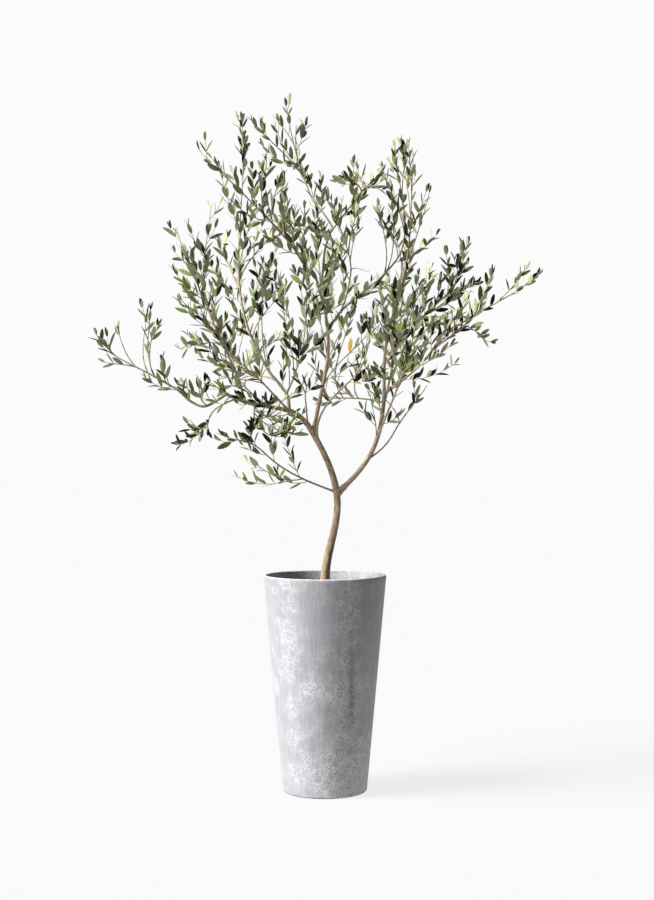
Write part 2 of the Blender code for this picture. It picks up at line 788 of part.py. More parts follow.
def make_trunk(path, radii, collection, cutters):
    """The trunk, with its foot cut flat just above the soil."""
    trunk = trunk_tube("trunk", path, radii, collection)
    trim(trunk, make_ground(cutters))
    finish(trunk, BARK_LOOK)


def make_boughs(paths, radii, collection, cutters):
    """Every bough, the side ones trimmed clear of what they leave."""
    carried_on = {limb[0]: name for name, limb in LIMBS.items() if limb[1] == 1.0}
    shells = {}
    cutting = [limb[0] for limb in LIMBS.values()] + list(carried_on.values())
    for name in dict.fromkeys(cutting):
        grown = radii[name] + TRIM_GAP
        if name == "trunk":
            shells[name] = trunk_tube("trunk_shell", paths[name], grown, cutters)
        else:
            shells[name] = tube(name + "_shell", paths[name], grown, cutters, LIMB_ROUNDNESS)
        hide(shells[name])
    for name, (parent, share, *_) in LIMBS.items():
        bough = tube(name, paths[name], radii[name], collection, LIMB_ROUNDNESS)
        if share < 1.0:
            trim(bough, shells[parent])
            if parent in carried_on and share > NEAR_TIP_SHARE:
                trim(bough, shells[carried_on[parent]])
        finish(bough, BARK_LOOK)


def leaf_shape():
    """A leaf of eight faces along +Z from its root at the origin, 1 long, 1 wide and 1 thick."""
    mesh = bpy.data.meshes.new("leaf_shape")
    shape = bmesh.new()
    bmesh.ops.create_uvsphere(shape, u_segments=4, v_segments=2, radius=0.5)
    for vertex in shape.verts:
        vertex.co.z += 0.5 if abs(vertex.co.z) > 0.25 else LEAF_WIDEST
    shape.to_mesh(mesh)
    shape.free()
    return mesh


def place_leaf(shape, leaf, collection):
    """One leaf, turned and stretched to its place."""
    root, along, across, face, length = leaf
    axes = np.column_stack([across * LEAF_WIDTH, face * LEAF_THICKNESS, along * length])
    piece = bpy.data.objects.new("leaf", shape)
    matrix = np.identity(4)
    matrix[:3, :3] = axes
    matrix[:3, 3] = root
    piece.matrix_world = Matrix(matrix.tolist())
    collection.objects.link(piece)


def keep_main_piece(mesh):
    """Drops every loose scrap and sealed hollow: all but the piece of most vertices."""
    shape = bmesh.new()
    shape.from_mesh(mesh)
    left = set(shape.verts)
    pieces = []
    while left:
        stack = [left.pop()]
        piece = set(stack)
        while stack:
            for edge in stack.pop().link_edges:
                for vertex in edge.verts:
                    if vertex in left:
                        left.remove(vertex)
                        piece.add(vertex)
                        stack.append(vertex)
        pieces.append(piece)
    pieces.sort(key=len)
    for piece in pieces[:-1]:
        bmesh.ops.delete(shape, geom=list(piece), context="VERTS")
    shape.to_mesh(mesh)
    shape.free()


def make_mass(name, grown, section, shape, root_radius, collection):
    """One mass of foliage: its stem, twigs and leaves fused to one solid."""
    leaders, shoots, leaves = grown
    pieces = new_collection(name + "_pieces")
    stem, *sides = leaders
    stem_radii = np.linspace(root_radius, STEM_TIP_RADIUS, len(stem))
    mass = tube(name, stem, stem_radii, collection, 0, section)
    for side in sides:
        tube("side", side, np.linspace(*SIDE_RADII, len(side)), pieces, 0, section)
    for shoot in shoots:
        tube("shoot", shoot, np.linspace(*SHOOT_RADII, len(shoot)), pieces, 0, section)
    for leaf in leaves:
        place_leaf(shape, leaf, pieces)
    fuse = mass.modifiers.new("Fuse", "BOOLEAN")
    fuse.operation = "UNION"
    fuse.operand_type = "COLLECTION"
    fuse.collection = pieces
    fuse.solver = "MANIFOLD"
    graph = bpy.context.evaluated_depsgraph_get()
    mesh = bpy.data.meshes.new_from_object(mass.evaluated_get(graph))
    mass.modifiers.clear()
    mass.data = mesh
    for piece in list(pieces.objects):
        bpy.data.objects.remove(piece)
    bpy.data.collections.remove(pieces)
    keep_main_piece(mesh)
    finish(mass, LEAF_LOOK)


def main():
    clear_scene()
    plant = new_collection("potted_olive_tree")
    cutters = new_collection("cutters")
    make_pot(plant)
    make_soil(plant)
    paths, radii = grow_limbs()
    make_trunk(paths["trunk"], radii["trunk"], plant, cutters)
    make_boughs(paths, radii, plant, cutters)
    section = twig_section(cutters)
    shape = leaf_shape()
    for name, grown in grow_masses(paths, radii).items():
        make_mass(name, grown, section, shape, radii[MASSES[name][0]][-1], plant)


main()
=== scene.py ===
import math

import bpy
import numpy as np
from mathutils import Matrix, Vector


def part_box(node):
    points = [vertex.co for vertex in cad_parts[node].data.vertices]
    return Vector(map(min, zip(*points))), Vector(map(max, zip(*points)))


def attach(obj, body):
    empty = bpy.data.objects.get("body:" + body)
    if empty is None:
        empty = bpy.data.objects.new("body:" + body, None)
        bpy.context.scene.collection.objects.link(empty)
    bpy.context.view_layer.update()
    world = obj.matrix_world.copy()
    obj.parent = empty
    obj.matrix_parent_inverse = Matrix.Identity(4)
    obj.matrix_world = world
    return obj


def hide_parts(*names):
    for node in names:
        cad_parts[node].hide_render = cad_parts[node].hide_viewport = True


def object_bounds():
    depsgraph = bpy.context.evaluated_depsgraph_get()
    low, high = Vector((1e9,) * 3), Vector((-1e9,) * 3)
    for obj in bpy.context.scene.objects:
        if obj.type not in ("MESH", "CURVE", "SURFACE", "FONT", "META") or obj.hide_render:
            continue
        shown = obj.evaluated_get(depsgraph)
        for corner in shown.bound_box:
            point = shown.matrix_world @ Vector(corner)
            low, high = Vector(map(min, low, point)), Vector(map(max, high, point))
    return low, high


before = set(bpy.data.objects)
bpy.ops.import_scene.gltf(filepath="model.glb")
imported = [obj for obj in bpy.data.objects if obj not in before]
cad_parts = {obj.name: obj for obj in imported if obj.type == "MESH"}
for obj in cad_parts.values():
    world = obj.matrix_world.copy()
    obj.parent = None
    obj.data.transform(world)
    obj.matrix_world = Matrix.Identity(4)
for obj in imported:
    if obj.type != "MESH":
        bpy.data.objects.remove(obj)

# %% [markdown]
# # Dressing a potted olive tree
# The frame brings the tree as plain solids: a pot, soil, a trunk, thirty boughs and a sketch of each
# mass of foliage. This lesson puts bark, fine twigs, leaves of the real size, soil and a stone-look
# finish in their place. The dressed tree has to stay within the solids, so their box is kept first.

cad_low, cad_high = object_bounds()
print("solids measure", [round(high - low, 3) for low, high in zip(cad_low, cad_high)], "m")

# %% [markdown]
# ## The camera
# A product photograph of a tall thing is taken from far off with a long lens, so that the sides stay
# straight. The camera stands level at about half the tree's height, which keeps the pot's walls and
# the trunk from leaning. Its distance comes from how open the ellipse of the pot's rim looks.

# %% Camera
LENS = 61.08
CAMERA_ACROSS = 0.006
CAMERA_AWAY = 4.61
CAMERA_HEIGHT = 1.026


def placed(name, data):
    """A new object with this data, put in the scene."""
    made = bpy.data.objects.new(name, data)
    bpy.context.scene.collection.objects.link(made)
    return made


camera = placed("camera", bpy.data.cameras.new("camera"))
camera.data.lens = LENS
camera.location = (CAMERA_ACROSS, -CAMERA_AWAY, CAMERA_HEIGHT)
camera.rotation_euler = (math.pi / 2, 0.0, 0.0)
bpy.context.scene.camera = camera
print("camera stands", CAMERA_AWAY, "m away with a lens of", LENS, "mm")

# %% [markdown]
# ## Colours and nodes
# Colours are easiest to note as the hex values of a screen, which are bent towards the dark tones.
# A render works with the straight amount of light, so one function straightens them. Another adds a
# node, sets it and links it in one go, which keeps each material short enough to read.

# %% Colour and node helpers
def linear(hex_colour):
    """Linear red, green, blue and alpha: a share s under 0.04045 becomes s / 12.92, and any
    other ((s + 0.055) / 1.055) to the power 2.4."""
    shares = np.array([int(hex_colour[at:at + 2], 16) for at in (1, 3, 5)]) / 255
    straight = np.where(shares <= 0.04045, shares / 12.92, ((shares + 0.055) / 1.055) ** 2.4)
    return (*straight.tolist(), 1.0)


def add(tree, kind, feeds=(), **settings):
    """Adds a node of a kind. Settings are its own properties. Feeds gives its sockets, in order or
    by name or number, a value, an output that drives them, or a node, whose first output does."""
    made = tree.nodes.new("ShaderNode" + kind)
    for name, value in settings.items():
        setattr(made, name, value)
    for socket, value in feeds.items() if isinstance(feeds, dict) else enumerate(feeds):
        if isinstance(value, bpy.types.Node):
            value = next(output for output in value.outputs if output.enabled)
        if isinstance(value, bpy.types.NodeSocket):
            tree.links.new(value, made.inputs[socket])
        else:
            made.inputs[socket].default_value = value
    return made


def new_material(name, colour, roughness):
    """A material with its shader at one colour and roughness, and that shader."""
    made = bpy.data.materials.new(name)
    made.use_nodes = True
    shader = made.node_tree.nodes["Principled BSDF"]
    shader.inputs["Base Color"].default_value = linear(colour)
    shader.inputs["Roughness"].default_value = roughness
    return made, shader


def finish_with(tree, shader, colour, height, strength, distance):
    """Gives a shader the colour that a node works out, and a bump of so many metres."""
    tree.links.new(colour.outputs[2], shader.inputs["Base Color"])
    bump = add(tree, "Bump", {"Height": height, "Strength": strength, "Distance": distance})
    tree.links.new(bump.outputs[0], shader.inputs["Normal"])


print("a mid grey screen value of 128 is", round(linear("#808080")[0], 3), "of full light")

# %% [markdown]
# ## Light and floor
# The studio has one broad lamp high on the left and a little in front, which gives the pot its bright
# left edge and the soft shadow that runs off to the right. A low, weak one on the left reaches under
# the crown to the trunk, and another behind on the right lifts the far edge. The room is dim for the
# tree and white for the camera, as where a white sweep is lit on its own, and for the same reason the
# floor glows. It reaches the horizon for the eye, but only the sheet of it round the pot throws light
# back, which keeps the underside of the crown from being washed out.

# %% Studio
# For each lamp the direction it shines from, its strength, and the angle it fills in degrees. A wide
# angle softens the shadow.
LAMPS = {
    "key_lamp": ((-0.96, -0.30, 1.08), 10.2, 24),
    "side_lamp": ((-0.93, -0.36, 0.10), 1.8, 30),
    "rim_lamp": ((0.85, 0.45, 0.35), 0.20, 60),
}
ROOM_LIGHT = 0.08
ROOM_WHITE = 0.974
FLOOR_GLOW = 0.85
# How far each part of the floor reaches, and how far it lies under the pot.
FLOORS = {"floor": (60.0, 0.0006), "floor_sheet": (2.2, 0.0003)}
FLOOR_SIDES = 96


def full_turn(count):
    """So many even angles, once round."""
    return np.linspace(0.0, 2 * np.pi, count, endpoint=False)


for name, (towards, strength, spread) in LAMPS.items():
    lamp = placed(name, bpy.data.lights.new(name, "SUN"))
    lamp.data.energy = strength
    lamp.data.angle = math.radians(spread)
    lamp.rotation_mode = "QUATERNION"
    lamp.rotation_quaternion = Vector(towards).to_track_quat("Z", "Y")

room = bpy.data.worlds.new("white_room")
room.use_nodes = True
bpy.context.scene.world = room
background = room.node_tree.nodes["Background"]
background.inputs["Color"].default_value = linear("#fdfefe")
seen = add(room.node_tree, "LightPath").outputs["Is Camera Ray"]
amount = add(room.node_tree, "MapRange", {"Value": seen, "To Min": ROOM_LIGHT, "To Max": ROOM_WHITE})
room.node_tree.links.new(amount.outputs["Result"], background.inputs["Strength"])
bpy.context.scene.view_settings.view_transform = "Standard"

# Painted board, matt and pale: most of its brightness is its own, so that shadows stay faint.
board, shader = new_material("painted_board", "#404040", 0.9)
shader.inputs["Emission Color"].default_value = linear("#fbfcfc")
shader.inputs["Emission Strength"].default_value = FLOOR_GLOW
shader.inputs["Specular IOR Level"].default_value = 0.0
a = full_turn(FLOOR_SIDES)
disc = np.column_stack([np.cos(a), np.sin(a), 0 * a])
for name, (reach, drop) in FLOORS.items():
    mesh = bpy.data.meshes.new(name)
    mesh.from_pydata(disc * reach - (0.0, 0.0, drop), [], [list(range(FLOOR_SIDES))])
    mesh.materials.append(board)
    ground = placed(name, mesh)
    ground.visible_diffuse = name == "floor_sheet"
print("lamps and floor are up")

# %% [markdown]
# ## From arrays to a piece
# Nearly every part is a stack of rings, which are turned round an axis, as in the pot, or carried
# along a path, as in a limb. Even a leaf is one, of four-cornered rings pressed flat. Each is worked
# out as whole arrays of points, and these helpers number the faces, join many shapes to one and hand
# them to Blender.

# %% Mesh helpers
def ring_faces(rings, sides):
    """Faces of a stack of rings: corner a of a ring joins b beside it, and both join the next ring.
    The two points after the rings are the poles, and a fan of triangles closes each end."""
    a = np.arange(sides)
    b = (a + 1) % sides
    ring = sides * np.arange(rings - 1)[:, None]
    quads = np.stack([ring + a, ring + b, ring + sides + b, ring + sides + a], axis=-1).reshape(-1, 4)
    pole = rings * sides
    last = pole - sides
    low = np.column_stack([pole + 0 * a, b, a])
    high = np.column_stack([pole + 1 + 0 * a, last + a, last + b])
    return quads, np.vstack([low, high])


def joined(shapes):
    """Several shapes as one. A shape is its points and its four-cornered and three-cornered faces.
    Faces are shifted by the number of points that come before."""
    starts = np.cumsum([0] + [len(shape[0]) for shape in shapes])
    points = np.vstack([shape[0] for shape in shapes])
    quads, ends = (np.vstack([shape[kind] + start for shape, start in zip(shapes, starts)])
                   for kind in (1, 2))
    return points, quads, ends


def make_piece(name, shape, nodes, materials, sharp=35.0):
    """A finished piece: smooth, with edges over the sharp angle kept crisp, riding with the body
    and standing for these nodes of the frame."""
    points, quads, ends = shape
    mesh = bpy.data.meshes.new(name)
    mesh.from_pydata(points, [], quads.tolist() + ends.tolist())
    for material in materials:
        mesh.materials.append(material)
    mesh.shade_smooth()
    mesh.set_sharp_from_angle(angle=math.radians(sharp))
    piece = placed(name, mesh)
    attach(piece, "root")
    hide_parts(*nodes)
    print(name, "has", 2 * len(quads) + len(ends), "triangles")
    return piece


def keep_values(piece, name, values):
    """Stores one number for each point of a piece, for its material to read."""
    piece.data.attributes.new(name, "FLOAT", "POINT").data.foreach_set("value", values)


print("a ring of 8 corners and its two poles close with", len(ring_faces(1, 8)[1]), "triangles")

# %% [markdown]
# ## The pot
# The pot is a tall, thin, tapered shell, moulded in resin and stone dust. Its outline is a profile
# of radius and height that is turned round the axis: out under the foot, up the straight side, over
# a rounded lip and down inside the wall. A half circle makes the lip, and a quarter circle the foot.

# %% Pot
_, pot_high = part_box("pot")
POT_HEIGHT = pot_high.z
RIM_RADIUS = pot_high.x
FOOT_RADIUS = 0.127
WALL = 0.009
FOOT_ROUND = 0.006
POT_FLOOR = 0.014
POT_SIDES = 192
WALL_STATIONS = 60
LIP_STATIONS = 11
FOOT_STATIONS = 7
UNDER_STATIONS = 3


def arc(centre, radius, start, end, count):
    """Points on a circle: centre + radius × (cos a, sin a), for a from start to end."""
    a = np.linspace(start, end, count)
    return np.column_stack([centre[0] + radius * np.cos(a), centre[1] + radius * np.sin(a)])


def straight(start, end, count):
    """Points spread evenly between two points of a profile, its ends left out."""
    share = np.linspace(0.0, 1.0, count + 2)[1:-1, None]
    return np.array(start) * (1 - share) + np.array(end) * share


def turned(radius, height, poles, sides):
    """Rings round the axis: (r cos a, r sin a, z), and the heights of the poles that close them."""
    a = full_turn(sides)
    rings = np.stack([radius[:, None] * np.cos(a), radius[:, None] * np.sin(a), height + 0 * a], axis=-1)
    poles = np.column_stack([np.zeros((2, 2)), poles])
    return np.vstack([rings.reshape(-1, 3), poles]), *ring_faces(len(radius), sides)


def wall_radius(height):
    """Outer radius of the straight side at a height."""
    return FOOT_RADIUS + (RIM_RADIUS - FOOT_RADIUS) * height / POT_HEIGHT


lip = arc((RIM_RADIUS - WALL / 2, POT_HEIGHT - WALL / 2), WALL / 2, 0.0, np.pi, LIP_STATIONS)
foot = arc((FOOT_RADIUS - FOOT_ROUND, FOOT_ROUND), FOOT_ROUND, -np.pi / 2, 0.0, FOOT_STATIONS)
inner_foot = (wall_radius(POT_FLOOR) - WALL, POT_FLOOR)
profile = np.vstack([straight((0.0, 0.0), foot[0], UNDER_STATIONS), foot,
                     straight(foot[-1], lip[0], WALL_STATIONS), lip,
                     straight(lip[-1], inner_foot, WALL_STATIONS), [inner_foot]])
pot_shape = turned(profile[:, 0], profile[:, 1:], (0.0, POT_FLOOR), POT_SIDES)
print("pot is", round(POT_HEIGHT, 3), "m high and", round(2 * RIM_RADIUS, 3), "m across its rim")

# %% [markdown]
# ## The pot's finish
# Stone-look resin is cast grey, then brushed with a paler wash that dries in feathery strands. The
# strands crowd in clouds: down the left, down a column right of the middle, across it and all round
# the foot. Between the clouds the grey is plain, with faint upright brush marks. So the finish is a
# grey, a map of the clouds, and thin lines that show only there: a net of veins, and curls of two
# sizes. The map and the wash's colour also carry painted light: paler round the right of the foot and
# darker round its left, a painted highlight on the lip, and a pale inside that stands in for the lit
# inner wall. A dark band under the foot is a painted shadow.

# %% Pot finish
VEIN = 0.034
SWIRL = 0.016
CLOUD = 0.050
# Size and twist of each pattern of curling lines, and how wide the lines are in its noise.
CURLS = ((0.034, 3.0), (0.016, 1.2))
CURL_EDGE = 0.05
BRUSH_MARK = 0.006
MARKS_PER_METRE = 5.0
PATCHES_PER_METRE = 7.0
POT_GREY = "#919194"
POT_DEEP = "#7e7d80"
POT_MAUVE = "#979096"
# Dark of the streak down the front, also used for the painted shadow under the foot.
POT_STREAK_AND_SHADE = "#4c4a4d"
POT_WASH_AND_LIGHT = "#b6b6b9"
# Bearing and half width of each upright cloud in degrees, its strength, and how high it reaches.
WASH_COLUMNS = ((-40, 24, 0.50, 0.68), (25, 21, 0.95, 0.62), (118, 26, 0.90, 0.66),
                (178, 24, 0.80, 0.50), (-118, 24, 0.60, 0.60))
COLUMN_FADE = 0.07
# Height of the belt's middle and half its width, and the heights where the foot's cloud and the painted
# light round the foot fade.
BELT = (0.318, 0.075)
FOOT_FADE = (0.10, 0.20)
FOOT_LIGHT_AND_SHADE_FADE = (0.0, 0.46)
# A painted highlight: how much paler the top of the lip is painted.
LIP_HIGHLIGHT = 1.2
LIP_EDGE = 0.003
# The whole inside is painted pale, painted light that stands in for the lamp on the inner wall.
INSIDE_LIGHT = 3.0
INSIDE_EDGE = 0.6 * WALL
# Height of the band under the foot that is painted dark, a painted shadow where the pot meets the floor.
PAINTED_SHADE_LINE = 0.003
# Strength at the left, what is added to it at the right, and the bearings that this grows between.
BELT_STRENGTH = (0.3, 0.55, -60, 0)
# The foot's wash grows towards the right partly as painted light, for what the floor throws back.
FOOT_STRENGTH = (0.35, 0.65, -60, 10)
# Painted light and shade round the foot: paler at the right, darker at the lit left.
FOOT_LIGHT_AND_SHADE = (-0.3, 1.5, -50, 80)
# The belt is weaker by this round a bearing, within half a width in degrees.
BELT_GAP_DEPTH = 0.5
BELT_GAP = (90, 60)
# The dark streak down the front: middle and half width across, and in height.
STREAK_ACROSS = (0.078, 0.014)
STREAK_UP = (0.33, 0.22)
STREAK_STRENGTH = 0.5


def eased(value, low, high):
    """0 below low, 1 above high and 3t² - 2t³ between, with t the share of the way."""
    t = np.clip((value - low) / (high - low), 0.0, 1.0)
    return t * t * (3 - 2 * t)


def band(value, centre, half_width):
    """1 at the centre of a band and easing to 0 half a width to either side."""
    return 1.0 - eased(np.abs(value - centre), 0.0, half_width)


def growing(bearing, left, more, start, end):
    """A strength that grows from the left to the right."""
    return left + more * eased(bearing, start, end)


def wash_and_light_map(points):
    """How thick the wash lies at each point, with painted light added: the thickest of the columns,
    the belt and the foot, where the foot's wash grows to the right partly as painted light; then painted
    light round the foot, paler at the right and darker at the left, a painted highlight on the lip, and
    the whole inside painted pale for the lit inner wall. The bearing is 0 at the front and 90 degrees
    at the right."""
    x, y, z = points.T
    bearing = np.degrees(np.arctan2(x, -y))
    columns = [strength * (1 - eased(z, top, top + COLUMN_FADE))
               * band((bearing - centre + 180) % 360 - 180, 0.0, half)
               for centre, half, strength, top in WASH_COLUMNS]
    belt = growing(bearing, *BELT_STRENGTH) - BELT_GAP_DEPTH * band(bearing, *BELT_GAP)
    belt = belt * band(z, *BELT)
    foot = (1.0 - eased(z, *FOOT_FADE)) * growing(bearing, *FOOT_STRENGTH)
    # Painted light and shade round the foot: paler towards the right, where the floor throws light back, and
    # darker at the lit left.
    foot_light_and_shade = (1.0 - eased(z, *FOOT_LIGHT_AND_SHADE_FADE)) * growing(bearing, *FOOT_LIGHT_AND_SHADE)
    # A painted highlight round the top of the lip.
    lip = LIP_HIGHLIGHT * eased(z, POT_HEIGHT - LIP_EDGE, POT_HEIGHT)
    # The inside painted pale: painted light for the lit inner wall.
    inside = INSIDE_LIGHT * ((np.hypot(x, y) < wall_radius(z) - INSIDE_EDGE) & (z > PAINTED_SHADE_LINE))
    return np.max([*columns, belt, foot], axis=0) + foot_light_and_shade + lip + inside


# Stone-look resin, brushed with a pale wash: matt, grey, with feathery pale strands in clouds.
# The real strands are hair-thin, and those here are drawn 1 to 2 mm wide to show.
resin, shader = new_material("stone_look_resin", POT_GREY, 0.62)
tree = resin.node_tree
place = add(tree, "TexCoord").outputs["Object"]
clouds_and_light = add(tree, "Attribute", attribute_name="wash_and_light").outputs["Fac"]
drift = add(tree, "TexNoise", {"Vector": place, "Scale": 1 / CLOUD, "Detail": 3.0})
drift = add(tree, "MapRange", (drift, 0.34, 0.60, -0.40, 0.40))
clouds_and_light = add(tree, "Math", (clouds_and_light, drift), operation="ADD")
swirl = add(tree, "TexNoise", {"Vector": place, "Scale": 1 / SWIRL, "Detail": 2.0}).outputs[1]
swirled = add(tree, "VectorMath", (swirl, (VEIN,) * 3, place), operation="MULTIPLY_ADD")
strands = add(tree, "TexVoronoi", {"Vector": swirled, "Scale": 1 / VEIN}, feature="DISTANCE_TO_EDGE")
strands = add(tree, "MapRange", (strands, 0.0, 0.10, 0.8, 0.0), interpolation_type="SMOOTHSTEP")
for size, twist in CURLS:
    line = add(tree, "TexNoise", {"Vector": place, "Scale": 1 / size, "Detail": 1.2, "Distortion": twist})
    line = add(tree, "Math", (line, 0.5), operation="SUBTRACT")
    line = add(tree, "Math", (line,), operation="ABSOLUTE")
    line = add(tree, "MapRange", (line, 0.0, CURL_EDGE, 0.8, 0.0), interpolation_type="SMOOTHSTEP")
    strands = add(tree, "Math", (strands, line), operation="MAXIMUM")
strands = add(tree, "Math", (strands, 0.95, 0.12), operation="MULTIPLY_ADD")
wash_and_light = add(tree, "Math", (strands, clouds_and_light), operation="MULTIPLY", use_clamp=True)

upright = add(tree, "Mapping", {"Vector": place, "Scale": (1 / BRUSH_MARK, 1 / BRUSH_MARK, MARKS_PER_METRE)})
marks = add(tree, "TexNoise", {"Vector": upright, "Scale": 1.0, "Detail": 2.0})
marks = add(tree, "MapRange", (marks, 0.35, 0.65, 0.0, 0.6), interpolation_type="SMOOTHSTEP")
stone = add(tree, "Mix", {0: marks, 6: linear(POT_GREY), 7: linear(POT_DEEP)}, data_type="RGBA")
tint = add(tree, "TexNoise", {"Vector": place, "Scale": PATCHES_PER_METRE, "Detail": 2.0})
tint = add(tree, "MapRange", (tint, 0.50, 0.66, 0.0, 0.45), interpolation_type="SMOOTHSTEP")
stone = add(tree, "Mix", {0: tint, 6: stone, 7: linear(POT_MAUVE)}, data_type="RGBA")
# The wash's pale colour also paints light: on the lip, over the inside and round the right of the foot.
washed_and_lit = add(tree, "Mix", {0: wash_and_light, 6: stone, 7: linear(POT_WASH_AND_LIGHT)}, data_type="RGBA")
# This map holds the streak and the painted shadow under the foot.
streak_and_shade = add(tree, "Attribute", attribute_name="streak_and_shade").outputs["Fac"]
colour = add(tree, "Mix", {0: streak_and_shade, 6: washed_and_lit, 7: linear(POT_STREAK_AND_SHADE)}, data_type="RGBA")
gloss = add(tree, "MapRange", (wash_and_light, 0.0, 1.0, 0.56, 0.74))
tree.links.new(gloss.outputs[0], shader.inputs["Roughness"])
finish_with(tree, shader, colour, wash_and_light, 0.5, 0.0016)

pot = make_piece("pot_shell", pot_shape, ["pot"], [resin])
wash_and_light_amount = wash_and_light_map(pot_shape[0])
keep_values(pot, "wash_and_light", wash_and_light_amount)
x, y, z = pot_shape[0].T
streak_and_shade = STREAK_STRENGTH * band(x, *STREAK_ACROSS) * band(z, *STREAK_UP) * (y < 0.0)
# The band under the foot takes the streak's dark colour: a painted shadow where the pot meets the floor.
keep_values(pot, "streak_and_shade", np.maximum(streak_and_shade, z < PAINTED_SHADE_LINE))
print("wash lies on", round(100 * (wash_and_light_amount > 0.5).mean()), "% of the pot")

# %% [markdown]
# ## The soil
# Potting soil settles to a shallow, lumpy bed with crumbs lying on it. The bed is a height for each
# point of a round grid: soft noise, a slight rise at the trunk and a fall at the wall. The crumbs are
# small lumps of twenty faces, all one mesh.

# %% Soil
soil_low, soil_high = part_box("soil")
SOIL_TOP = soil_high.z
SOIL_RADIUS = soil_high.x
SOIL_RINGS = 46
SOIL_SIDES = 128
SOIL_SEED = 7
# Lumps round the bed, lumps from its middle to its edge, and their height.
LUMPS = ((7, 3, 0.0022), (19, 9, 0.0014), (43, 21, 0.0009))
# At the trunk the lumps have this share of their height, and they have all of it a sixth of the way
# out.
LEAST_LUMPS = 0.3
LUMP_GROWTH = 6
RISE = 0.003
RISE_REACH = 0.03
EDGE_FALL = 0.002
EDGE_POWER = 8
BED_BELOW_TOP = 0.004
SKIRT = 0.012
WALL_GAP = 0.0005
# How far the solids stand apart where they touch, and the soil's foot from the wall.
TOUCH_GAP = 0.0003
FOOT_GAP = 0.0006
CRUMBS = 900
CRUMB_SIZES = (0.0012, 0.0042)
CRUMB_UNEVENNESS = (0.75, 1.25)
CRUMB_FLATNESS = 0.7
CRUMB_FROM_EDGE = 0.008
CRUMB_SINK = 0.003
CRUMB_LIFT = 0.4
GOLDEN = 1.618
CORNER_DISTANCE = 1.9
CORNER_SPACING = 1.2
GRAIN = 0.004
DAMP_PATCH = 0.03


def ripples(random, across, along, columns, rows):
    """Soft noise from -1 to 1 on a sheet whose sides meet: random heights at the corners of a grid,
    eased between them by 3t² - 2t³ both ways."""
    heights = random.uniform(-1.0, 1.0, (rows + 2, columns))
    u = (across % 1.0) * columns
    v = np.clip(along, 0.0, 1.0) * rows
    i, j = u.astype(int) % columns, v.astype(int)
    s, t = u - u.astype(int), v - j
    s, t = s * s * (3 - 2 * s), t * t * (3 - 2 * t)
    k = (i + 1) % columns
    return (heights[j, i] * (1 - s) + heights[j, k] * s) * (1 - t) + (
        heights[j + 1, i] * (1 - s) + heights[j + 1, k] * s) * t


random = np.random.default_rng(SOIL_SEED)
radius = np.linspace(0.0, SOIL_RADIUS, SOIL_RINGS + 1)[1:]
share = (radius / SOIL_RADIUS)[:, None] + np.zeros(SOIL_SIDES)
turn = full_turn(SOIL_SIDES) / (2 * np.pi) + 0 * share
rough = sum(ripples(random, turn, share, columns, rows) * size for columns, rows, size in LUMPS)
swell = RISE * np.exp(-(radius[:, None] / RISE_REACH) ** 2)
surface = rough * np.clip(share * LUMP_GROWTH, LEAST_LUMPS, 1.0) + swell - EDGE_FALL * share**EDGE_POWER
wall_foot = wall_radius(POT_FLOOR + TOUCH_GAP) - WALL - FOOT_GAP
radii = np.append(radius, [SOIL_RADIUS - WALL_GAP, wall_foot])[::-1]
flat = np.ones((1, SOIL_SIDES))
height = np.vstack([surface, -SKIRT * flat, (soil_low.z - SOIL_TOP) * flat])[::-1]
level = SOIL_TOP - BED_BELOW_TOP
bed = turned(radii, level + height, (soil_low.z, level + RISE), SOIL_SIDES)

# The twelve corners of a ball of twenty faces, at a distance of 1 from its middle. Three corners that
# are all near to one another share a face.
corners = np.array([(0, side, golden) for side in (1, -1) for golden in (GOLDEN, -GOLDEN)])
ball = np.vstack([corners, corners[:, [1, 2, 0]], corners[:, [2, 0, 1]]]) / CORNER_DISTANCE
near = np.linalg.norm(ball[:, None] - ball[None], axis=2)
faces = [(i, j, k) for i in range(12) for j in range(i + 1, 12) for k in range(j + 1, 12)
         if max(near[i, j], near[j, k], near[i, k]) < CORNER_SPACING]
faces = np.array([face if np.linalg.det(ball[list(face)]) > 0 else face[::-1] for face in faces])
spot = np.sqrt(random.uniform(0.01, 1.0, CRUMBS)) * (SOIL_RADIUS - CRUMB_FROM_EDGE)
bearing = random.uniform(0.0, 2 * np.pi, CRUMBS)
size = random.uniform(0.0, 1.0, CRUMBS) ** 3 * (CRUMB_SIZES[1] - CRUMB_SIZES[0]) + CRUMB_SIZES[0]
uneven = ball * random.uniform(*CRUMB_UNEVENNESS, (CRUMBS, 12, 1))
shaped = uneven * size[:, None, None] * (1.0, 1.0, CRUMB_FLATNESS)
level = SOIL_TOP - CRUMB_SINK + CRUMB_LIFT * size
crumb_points = shaped + np.column_stack([spot * np.cos(bearing), spot * np.sin(bearing), level])[:, None]
crumb_faces = (faces + 12 * np.arange(CRUMBS)[:, None, None]).reshape(-1, 3)
crumbs = (crumb_points.reshape(-1, 3), np.zeros((0, 4), int), crumb_faces)

